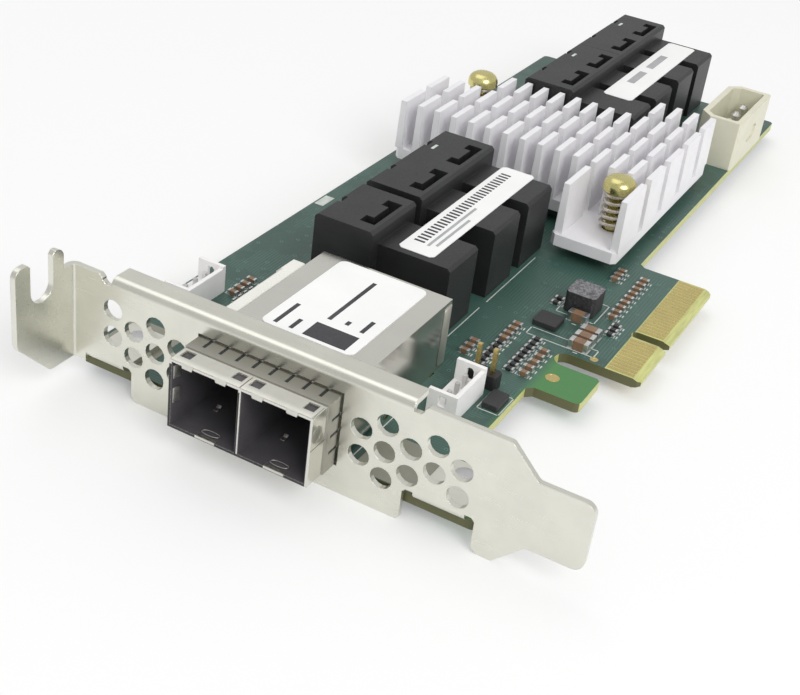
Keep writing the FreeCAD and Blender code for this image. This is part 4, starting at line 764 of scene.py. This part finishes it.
class CARD_OT_board(bpy.types.Operator):
    """Finish the board and its contacts, print its white marks and lay its bare pads"""
    bl_idname = "card.board"
    bl_label = "Board"

    def execute(self, context):
        paint("board", "circuit_board")
        paint("gold", "edge_contacts_top", "edge_contacts_underside")
        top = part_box("circuit_board")[1].z
        half = Vector((sizes().line, sizes().line, 0.0)) / 2
        strokes = list(PRINTED_LINES)
        for x0, y0, x1, y1 in PRINTED_FRAMES:
            strokes += [(x0, y0, x1, y0), (x1, y0, x1, y1), (x0, y1, x1, y1), (x0, y0, x0, y1)]
        marks = [self.mark(at(x0, y0) - half, at(x1, y1) + half, top) for x0, y0, x1, y1 in strokes]
        marks += [self.mark(at(x0, y0), at(x1, y1), top) for x0, y0, x1, y1 in PRINTED_FIELDS]
        marks += self.ticks(top)
        settled(marks, "board_print", "print")
        self.gold_pads(top)
        pads = [self.ground_pad(at(x0, y0), at(x1, y1), top) for x0, y0, x1, y1 in GROUND_PADS]
        settled(pads, "ground_pads", "ground")
        return {"FINISHED"}

    def mark(self, low, high, top):
        return flat_mark(lifted(low, top), lifted(high, top + sizes().ink))

    def ticks(self, top):
        """A short plain tick beside each small part, on the first side with room for it."""
        parts = islands("capacitor_bodies") + islands("resistor_bodies")
        taken = parts + islands("capacitor_ends") + islands("resistor_ends")
        taken += [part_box(name) for name in STANDING]
        taken.append((at(*BARE_BOARD[:2]), at(*BARE_BOARD[2:])))
        ticks = []
        for low, high in parts:
            for axis, way in ((0, 1), (0, -1), (1, 1), (1, -1)):
                reach = (high[axis] - low[axis]) / 2 + END_LENGTH + TICK_GAP + TICK_WIDTH / 2
                middle = (low + high) / 2
                middle[axis] += way * reach
                half = Vector((TICK_LENGTH / 2, TICK_LENGTH / 2, 0.0))
                half[axis] = TICK_WIDTH / 2
                box = (middle - half, middle + half)
                if all(self.apart(box, other) for other in taken):
                    taken.append(box)
                    ticks.append(self.mark(*box, top))
                    break
        return ticks

    def apart(self, first, second):
        """Whether two boxes keep a small gap, seen from above."""
        return any(first[1][i] + TICK_MARGIN < second[0][i] or second[1][i] + TICK_MARGIN < first[0][i]
                   for i in range(2))

    def ground_pad(self, low, high, top):
        """A bare tinned pad under and round one ear of the bracket."""
        pad = start_block(lifted(low, top), lifted(high, top + sizes().pad))
        round_edges(pad, lambda place, run: abs(run.z) > STRAIGHT, GROUND_PAD_CORNER, 4)
        return rounded(pad, sizes().pad * SOFT, 1)

    def gold_pads(self, top):
        """Round bare pads with a raised rim: one on the hook and one by the edge contacts."""
        pads = []
        for x, y, radius, rim in GOLD_PADS:
            disc = start_rod(lifted(at(x, y), top + sizes().pad / 2), radius * MM, sizes().pad)
            sink_face(disc, facing(2), rim * MM, sizes().pad * 0.5)
            pads.append(disc)
        settled(pads, "board_pads", "gold")


class CARD_OT_bracket(bpy.types.Operator):
    """Finish the folded bracket and its screws"""
    bl_idname = "card.bracket"
    bl_label = "Bracket"

    def execute(self, context):
        paint("bracket", "bracket")
        screws = []
        for low, high in islands("bracket_screws"):
            screws += self.screw(low, high)
        fixed = settled(screws, "cross_head_screws", "steel", angle=40.0)
        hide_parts("bracket_screws")
        return {"FINISHED"}

    def screw(self, low, high):
        """A pan head with a cross recess under the board, and its shank."""
        middle = (low + high) / 2
        seat = low.z + PAN_HEIGHT
        radius = (high.x - low.x) / 2
        head = start_rod(lifted(middle, (low.z + seat) / 2), radius, PAN_HEIGHT, 40)
        round_edges(head, lambda place, run: place.z < low.z + HAIR, PAN_EDGE, 5)
        foot = lifted(middle, low.z)
        for reach_x, reach_y in ((CROSS_REACH, CROSS_HALF_WIDTH), (CROSS_HALF_WIDTH, CROSS_REACH)):
            reach = Vector((reach_x, reach_y, CROSS_DEPTH))
            cut_away(head, start_block(foot - reach, foot + reach))
        shank = start_rod(lifted(middle, (seat + high.z) / 2), PAN_SHANK / 2, high.z - seat, 24)
        return [head, rounded(shank, PAN_SHANK_EDGE)]


class CARD_OT_ports(bpy.types.Operator):
    """Darken the external ports with painted shade and add the fine sheet work of their cage"""
    bl_idname = "card.ports"
    bl_label = "External ports"

    def execute(self, context):
        paint("cage", "port_cage")
        paint("gasket", "cage_gasket")
        paint("guide", "light_guide")
        paint("port_dark_and_shade", "port_receptacle_left", "port_receptacle_right")
        paint("gold", "port_contacts")
        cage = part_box("port_cage")
        shade_liners, hems, latches, tabs, bays = [], [], [], [], []
        for side in ("left", "right"):
            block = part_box("port_receptacle_" + side)
            bay = (block[0].x - SIDE_GAP, block[1].x + SIDE_GAP)
            bays.append(bay)
            shade_liners.append(self.shade_liner(bay, cage, block[0].y))
            hems += self.hem(bay, cage)
            latches += self.latch((bay[0] + bay[1]) / 2 + LATCH_OFFSET, cage)
            tabs += self.floor_tabs(bay[0], cage)
        # Painted shade: dark sleeves over the metal walls inside the bays.
        settled(shade_liners, "port_shade_liners", "port_dark_and_shade")
        settled(hems, "cage_hems", "hem")
        settled(latches, "port_latches", "hem", angle=50.0)
        settled(self.springs(cage), "port_springs", "hem", angle=50.0)
        settled(tabs, "port_floor_tabs", "hem", angle=50.0)
        settled([self.dimple(cage)], "cage_dimple", "gasket", angle=60.0)
        settled([self.rear_fold(cage)], "cage_rear_fold", "hem")
        # Painted shade: dark sheets under the collar's slits.
        settled(self.slit_shade(), "gasket_slit_shade", "black")
        settled(self.seams(cage), "cage_seams", "port_dark_and_shade")
        # Painted shade: dark strips on the sheet's cut edges at the mouths.
        settled(self.mouth_rim_shade(cage, bays), "cage_mouth_rim_shade", "black")
        return {"FINISHED"}

    def shade_liner(self, bay, cage, rear):
        """Painted shade: a dark sleeve over the metal walls of one bay, open at both ends, where the bay
        lies in shadow.
        """
        sleeve = start_span(bay, (cage[0].y + SHADE_LINER_SETBACK, rear - SHADE_LINER_REAR_GAP),
                            (cage_floor() + CAGE_WALL, cage[1].z - CAGE_WALL))
        pick(sleeve, "FACE", lambda place, normal: abs(normal.y) > STRAIGHT)
        bpy.ops.mesh.delete(type="ONLY_FACE")
        done()
        return finish_with(sleeve, "SOLIDIFY", thickness=sizes().shade_liner, offset=-1.0)

    def hem(self, bay, cage):
        """The folded hem over one port's front edge: two windows, and two tabs turned down over the rim."""
        lift = sizes().hem
        roof, front = cage[1].z, cage[0].y
        band = start_span((bay[0] - HEM_OVERLAP, bay[1] + HEM_OVERLAP), (front, front + HEM_DEPTH),
                          (roof, roof + lift))
        window = (front + WINDOW_SETBACK, front + WINDOW_SETBACK + WINDOW)
        for edge in (bay[0] + CAGE_WALL, bay[1] - CAGE_WALL - WINDOW):
            cut_away(band, start_span((edge, edge + WINDOW), window, (roof - lift, roof + 2 * lift)))
        pieces = [rounded(band, HEM_EDGE, 1)]
        for share in HEM_TAB_SHARES:
            middle = bay[0] + (bay[1] - bay[0]) * share
            tab = start_span((middle - HEM_TAB_HALF, middle + HEM_TAB_HALF), (front - lift, front),
                             (roof - HEM_TAB_DROP, roof + lift))
            pick(tab, "FACE", facing(2, -1))
            bpy.ops.transform.resize(value=(HEM_TAB_TAPER, 1.0, 1.0), center_override=(middle, front, roof))
            done()
            pieces.append(rounded(tab, HEM_TAB_EDGE))
        return pieces

    def latch(self, middle, cage):
        """The bright lip at the foot of one mouth, and the wire loop behind it."""
        front = cage[0].y
        floor = cage_floor() + CAGE_WALL
        lip = start_span((middle - LIP_HALF, middle + LIP_HALF), (front - LIP_PROUD, front + LIP_DEPTH),
                         (floor - LIP_DROP, floor + LIP_RISE))
        sink_face(lip, facing(1, -1), LIP_RIM, LIP_SINK)
        deselect()
        bpy.ops.mesh.primitive_torus_add(major_radius=LOOP_RADIUS, minor_radius=LOOP_WIRE, major_segments=36,
                                         minor_segments=8)
        loop = bpy.context.object
        loop.scale = LOOP_STRETCH
        loop.location = (middle, front + LOOP_SETBACK, floor + LOOP_RISE)
        settle_place()
        pick(loop, "VERT", lambda place, normal: place.y > front + LOOP_SETBACK)
        bpy.ops.transform.translate(value=LOOP_KINK)
        done()
        return [rounded(lip, LIP_EDGE), loop]

    def floor_tabs(self, wall, cage):
        """Small spring tabs pressed up from the floor of one bay."""
        tabs = []
        level = cage_floor() + CAGE_WALL + sizes().shade_liner
        for across, inward in FLOOR_TAB_PLACES:
            foot = Vector((wall + across * MM, cage[0].y + inward * MM, level))
            tab = start_block(foot, foot + FLOOR_TAB_SIZE)
            push(tab, facing(1), FLOOR_TAB_RISE)
            tabs.append(rounded(tab, SPRING_EDGE))
        return tabs

    def springs(self, cage):
        """Bright spring strips bent into the mouth on the two outer walls."""
        strips = []
        front = cage[0].y + STRIP_SETBACK
        for wall, way in ((cage[0].x, 1), (cage[1].x, -1)):
            face = wall + way * (CAGE_WALL + SIDE_GAP * 0.2)
            across = sorted((face, face + way * STRIP_SHEET))
            for low, high in STRIP_SPANS:
                strip = start_span(across, (front, front + STRIP_RUN),
                                   (cage_floor() + low * MM, cage_floor() + high * MM))
                push(strip, facing(1), (way * STRIP_BEND[0], STRIP_BEND[1], 0.0))
                strips.append(rounded(strip, SPRING_EDGE, 1))
        return strips

    def slit_shade(self):
        """Painted shade: dark sheets under the slits of the spring collar, on the roof and on both sides,
        where the slits lie in shadow.
        """
        low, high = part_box("cage_gasket")
        sheet = (high.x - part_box("port_cage")[1].x) / 2
        along = (low.y + SLIT_SHADE_MARGIN, BENCH_ZERO.y)
        up = (low.z + SLIT_SHADE_MARGIN, high.z - SLIT_SHADE_MARGIN)
        across = (low.x + SLIT_SHADE_MARGIN, high.x - SLIT_SHADE_MARGIN)
        roof = (across, along, (high.z - 2 * sheet, high.z - sheet))
        right = ((high.x - 2 * sheet, high.x - sheet), along, up)
        left = ((low.x + sheet, low.x + 2 * sheet), along, up)
        return [rounded(start_span(*spans), sheet * 0.2, 1) for spans in (roof, right, left)]

    def seams(self, cage):
        """Fine dark seams on the cage's right side: one along it, and one down before the rear fold."""
        across = (cage[1].x, cage[1].x + SEAM_PROUD)
        front, level = cage[0].y, cage_floor() + SEAM_LEVEL
        fold = cage[1].y - REAR_FOLD
        along = (across, (front, front + SEAM_RUN), (level, level + SEAM_WIDTH))
        down = (across, (fold - FOLD_SEAM, fold), (cage_floor(), cage[1].z - REAR_FOLD_DROP))
        return [rounded(start_span(*spans), SEAM_EDGE, 1) for spans in (along, down)]

    def mouth_rim_shade(self, cage, bays):
        """Painted shade: dark strips over the sheet's cut edges at the mouths, on the floor, the left wall
        and half the septum, where the mouths lie in shadow.
        """
        depth = (cage[0].y - RIM_SHADE_DEPTH, cage[0].y)
        foot = (cage_floor(), cage_floor() + CAGE_WALL)
        rise = (foot[1], cage[1].z - 2 * CAGE_WALL)
        floor = ((cage[0].x, cage[1].x - CAGE_WALL), depth, foot)
        left = ((cage[0].x, bays[0][0]), depth, rise)
        septum = ((bays[0][1], (bays[0][1] + bays[1][0]) / 2), depth, rise)
        return [rounded(start_span(*spans), RIM_SHADE_DEPTH * 0.3, 1) for spans in (floor, left, septum)]

    def rear_fold(self, cage):
        """The end of the rear sheet, folded round onto the cage's right side."""
        front = cage[1].y - REAR_FOLD
        fold = start_span((cage[1].x, cage[1].x + REAR_FOLD_SHEET), (front, cage[1].y - REAR_FOLD_END),
                          (cage_floor(), cage[1].z - REAR_FOLD_DROP))
        round_edges(fold, lambda place, run: abs(run.x) > STRAIGHT and place.y < front + HAIR,
                    REAR_FOLD_CORNER, 5)
        return rounded(fold, REAR_FOLD_EDGE)

    def dimple(self, cage):
        """The round dimple pressed into the cage's right side."""
        middle = Vector((cage[1].x + DIMPLE_PROUD / 2, cage[0].y + DIMPLE_SETBACK,
                         cage_floor() + DIMPLE_LEVEL))
        disc = start_rod(middle, DIMPLE_RADIUS, DIMPLE_PROUD, 40, (0.0, math.pi / 2, 0.0))
        sink_face(disc, facing(0), DIMPLE_RIM, DIMPLE_SINK)
        return rounded(disc, DIMPLE_EDGE)


class CARD_OT_links(bpy.types.Operator):
    """Finish the internal cable connectors"""
    bl_idname = "card.links"
    bl_label = "Internal connectors"

    def execute(self, context):
        for link in LINKS:
            paint("black", "internal_connector_" + link)
            paint("gold", "internal_contacts_" + link)
        settled([self.mark(link) for link in LINKS[1:]], "deck_marks", "print")
        return {"FINISHED"}

    def mark(self, link):
        """A small pale mark on the deck by the far end of a connector's mouth."""
        low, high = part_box("internal_connector_" + link)
        spot = Vector((low.x + DECK_MARK_SETBACK, high.y - DECK_MARK_FROM_END, high.z))
        return flat_mark(spot - DECK_MARK_HALF, spot + DECK_MARK_HALF)


class CARD_OT_heatsink(bpy.types.Operator):
    """Finish the heatsink, its chip and its heat pad"""
    bl_idname = "card.heatsink"
    bl_label = "Heatsink"

    def execute(self, context):
        paint("sink", "heatsink_base", "heatsink_fins")
        paint("thermal", "thermal_pad")
        paint("package", "expander_chip")
        return {"FINISHED"}


class CARD_OT_spring_screws(bpy.types.Operator):
    """Model the domed brass screws and wind their springs"""
    bl_idname = "card.spring_screws"
    bl_label = "Spring screws"

    def execute(self, context):
        paint("steel", "screw_nuts")
        for side in ("left", "right"):
            self.screw(side)
            self.spring(side)
        return {"FINISHED"}

    def screw(self, side):
        """A shank and a plain domed head."""
        node = "spring_screw_" + side
        low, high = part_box(node)
        middle = (low + high) / 2
        seat = high.z - HEAD_HEIGHT
        shank = start_rod(lifted(middle, (low.z + seat) / 2), SHANK_RADIUS, seat - low.z)
        push(shank, facing(2), Vector((0.0, 0.0, SHANK_OVERLAP)))
        head = start_rod(lifted(middle, seat + HEAD_RIM / 2), (high.x - low.x) / 2, HEAD_RIM, 48)
        dome = HEAD_HEIGHT - HEAD_RIM
        for i in range(DOME_STEPS):
            near, far = (math.pi / 2 * k / DOME_STEPS for k in (i, i + 1))
            rise = dome * (math.sin(far) - math.sin(near))
            width, shrunk = (DOME_CROWN + (1 - DOME_CROWN) * math.cos(turn) for turn in (near, far))
            level = seat + HEAD_RIM + dome * math.sin(near)
            taper(head, lambda place, normal: normal.z > STRAIGHT and place.z > level - HAIR,
                  rise, shrunk / width, middle)
        screw = settled([shank, head], "brass_" + node, "brass", angle=40.0)
        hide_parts(node)

    def spring(self, side):
        """A round wire wound up the shank, its ends closed."""
        node = "screw_spring_" + side
        low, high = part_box(node)
        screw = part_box("spring_screw_" + side)
        axis = (screw[0] + screw[1]) / 2
        wire = sizes().wire / 2
        deselect()
        bpy.ops.mesh.primitive_circle_add(vertices=10, radius=wire, fill_type="NGON",
                                          location=(COIL_RADIUS, 0.0, low.z + wire),
                                          rotation=(math.pi / 2, 0.0, 0.0))
        coil = settle_place()
        rise = (high.z - low.z - 2 * wire) / COIL_TURNS
        finish_with(coil, "SCREW", angle=2 * math.pi, screw_offset=rise, iterations=COIL_TURNS,
                    steps=COIL_STEPS, render_steps=COIL_STEPS, use_merge_vertices=True)
        pick(coil, "EDGE", lambda place, run: True)
        bpy.ops.mesh.remove_doubles(threshold=0.001 * MM)
        bpy.ops.mesh.select_all(action="SELECT")
        bpy.ops.mesh.normals_make_consistent(inside=False)
        done()
        coil.location = (axis.x, axis.y, 0.0)
        settle_place()
        wound = settled([coil], "wound_" + node, "spring", angle=60.0)
        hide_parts(node)


class CARD_OT_power(bpy.types.Operator):
    """Finish the power connector and its pins"""
    bl_idname = "card.power"
    bl_label = "Power connector"

    def execute(self, context):
        paint("cream", "power_connector")
        paint("tin", "power_pins")
        return {"FINISHED"}


class CARD_OT_headers(bpy.types.Operator):
    """Finish the white headers and the jumper"""
    bl_idname = "card.headers"
    bl_label = "Headers and jumper"

    def execute(self, context):
        paint("white", "sideband_header_left", "sideband_header_right")
        paint("tin", "sideband_pins")
        paint("black", "jumper_base")
        paint("gold", "jumper_pins")
        return {"FINISHED"}


class CARD_OT_small_parts(bpy.types.Operator):
    """Finish the chips and chip parts, and lay their solder pads"""
    bl_idname = "card.small_parts"
    bl_label = "Small parts"

    def execute(self, context):
        paint("coil", "supply_coil")
        paint("chip", "regulator_chip", "switch_chip", "memory_chip", "resistor_bodies")
        paint("tin", "memory_leads", "crystal", "capacitor_ends", "resistor_ends")
        paint("tan", "capacitor_bodies")
        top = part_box("circuit_board")[1].z
        pads = []
        for name in ("capacitor_ends", "resistor_ends"):
            for low, high in islands(name):
                pad = start_block(lifted(low, top) - PAD_MARGIN,
                                  lifted(high, top + sizes().pad) + PAD_MARGIN)
                pick(pad, "FACE", facing(2))
                bpy.ops.mesh.inset(thickness=PAD_INSET, depth=PAD_CROWN)
                done()
                pads.append(pad)
        settled(pads, "solder_pads", "tin")
        return {"FINISHED"}


class CARD_OT_labels(bpy.types.Operator):
    """Finish the labels and lay plain bars and fields on them"""
    bl_idname = "card.labels"
    bl_label = "Labels"

    def execute(self, context):
        paint("paper", "cage_label", "front_connector_label", "rear_connector_label")
        dark = [self.field("cage_label", *share) for share in CAGE_LABEL_FIELDS]
        dark += self.row("front_connector_label")
        settled(dark, "label_bars", "ink")
        faint = [self.field("front_connector_label", *share) for share in FRONT_LABEL_FIELDS]
        faint += [self.field("rear_connector_label", *share) for share in REAR_LABEL_FIELDS]
        settled(faint, "label_fields", "faint")
        return {"FINISHED"}

    def field(self, label, x0, y0, x1, y1):
        """A flat field between two places given as shares of a label's width and length."""
        low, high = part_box(label)
        size = high - low
        foot = Vector((low.x + size.x * x0, low.y + size.y * y0, high.z))
        crown = Vector((low.x + size.x * x1, low.y + size.y * y1, high.z + sizes().ink))
        return flat_mark(foot, crown)

    def row(self, label):
        """Even bars side by side along the label's left edge."""
        low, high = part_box(label)
        pitch = FRONT_BAR_RUN / FRONT_LABEL_BARS
        left, right = FRONT_BAR_SPAN
        bar = self.field(label, left, FRONT_BAR_START, right, FRONT_BAR_START + pitch * 0.5)
        step = Vector((0.0, pitch * (high.y - low.y), 0.0))
        return [bar] + [copied(bar, i * step) for i in range(1, FRONT_LABEL_BARS)]


class CARD_OT_solder_side(bpy.types.Operator):
    """Put solder joints round the pin tails under the board"""
    bl_idname = "card.solder_side"
    bl_label = "Solder side"

    def execute(self, context):
        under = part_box("circuit_board")[0].z
        joints = []
        for name, share in (("power_pins", 0.8), ("sideband_pins", 1.0), ("jumper_pins", 1.0)):
            for low, high in islands(name):
                radius = (high.x - low.x) / 2 + JOINT_REACH * share
                joints.append(self.joint(lifted((low + high) / 2, under), radius))
        settled(joints, "solder_joints", "tin", angle=50.0)
        return {"FINISHED"}

    def joint(self, foot, radius):
        """A collar of solder that narrows down towards the tail of its pin."""
        base = sizes().joint * JOINT_FOOT
        cone = start_rod(foot - Vector((0.0, 0.0, base / 2)), radius, base, 16)
        taper(cone, facing(2, -1), base - sizes().joint, JOINT_TAPER, foot)
        return cone


class CARD_PT_panel(bpy.types.Panel):
    """Buttons for the pieces of the card"""
    bl_idname = "CARD_PT_panel"
    bl_label = "Expander card"
    bl_space_type = "VIEW_3D"
    bl_region_type = "UI"
    bl_category = "Card"

    def draw(self, context):
        for operator in OPERATORS:
            self.layout.operator(operator.bl_idname)


OPERATORS = (CARD_OT_stage, CARD_OT_board, CARD_OT_bracket, CARD_OT_ports, CARD_OT_links, CARD_OT_heatsink,
             CARD_OT_spring_screws, CARD_OT_power, CARD_OT_headers, CARD_OT_small_parts, CARD_OT_labels,
             CARD_OT_solder_side)
CLASSES = (CardColours, CardSizes, CardStage) + OPERATORS + (CARD_PT_panel,)


def register():
    for item in CLASSES:
        bpy.utils.register_class(item)
    bpy.types.Scene.card_colours = bpy.props.PointerProperty(type=CardColours)
    bpy.types.Scene.card_sizes = bpy.props.PointerProperty(type=CardSizes)
    bpy.types.Scene.card_stage = bpy.props.PointerProperty(type=CardStage)


def unregister():
    del bpy.types.Scene.card_stage
    del bpy.types.Scene.card_sizes
    del bpy.types.Scene.card_colours
    for item in reversed(CLASSES):
        bpy.utils.unregister_class(item)


def main():
    register()
    finishes.update(make_finishes())
    bpy.ops.card.stage()
    bpy.ops.card.board()
    bpy.ops.card.bracket()
    bpy.ops.card.ports()
    bpy.ops.card.links()
    bpy.ops.card.heatsink()
    bpy.ops.card.spring_screws()
    bpy.ops.card.power()
    bpy.ops.card.headers()
    bpy.ops.card.small_parts()
    bpy.ops.card.labels()
    bpy.ops.card.solder_side()


if __name__ == "__main__":
    main()
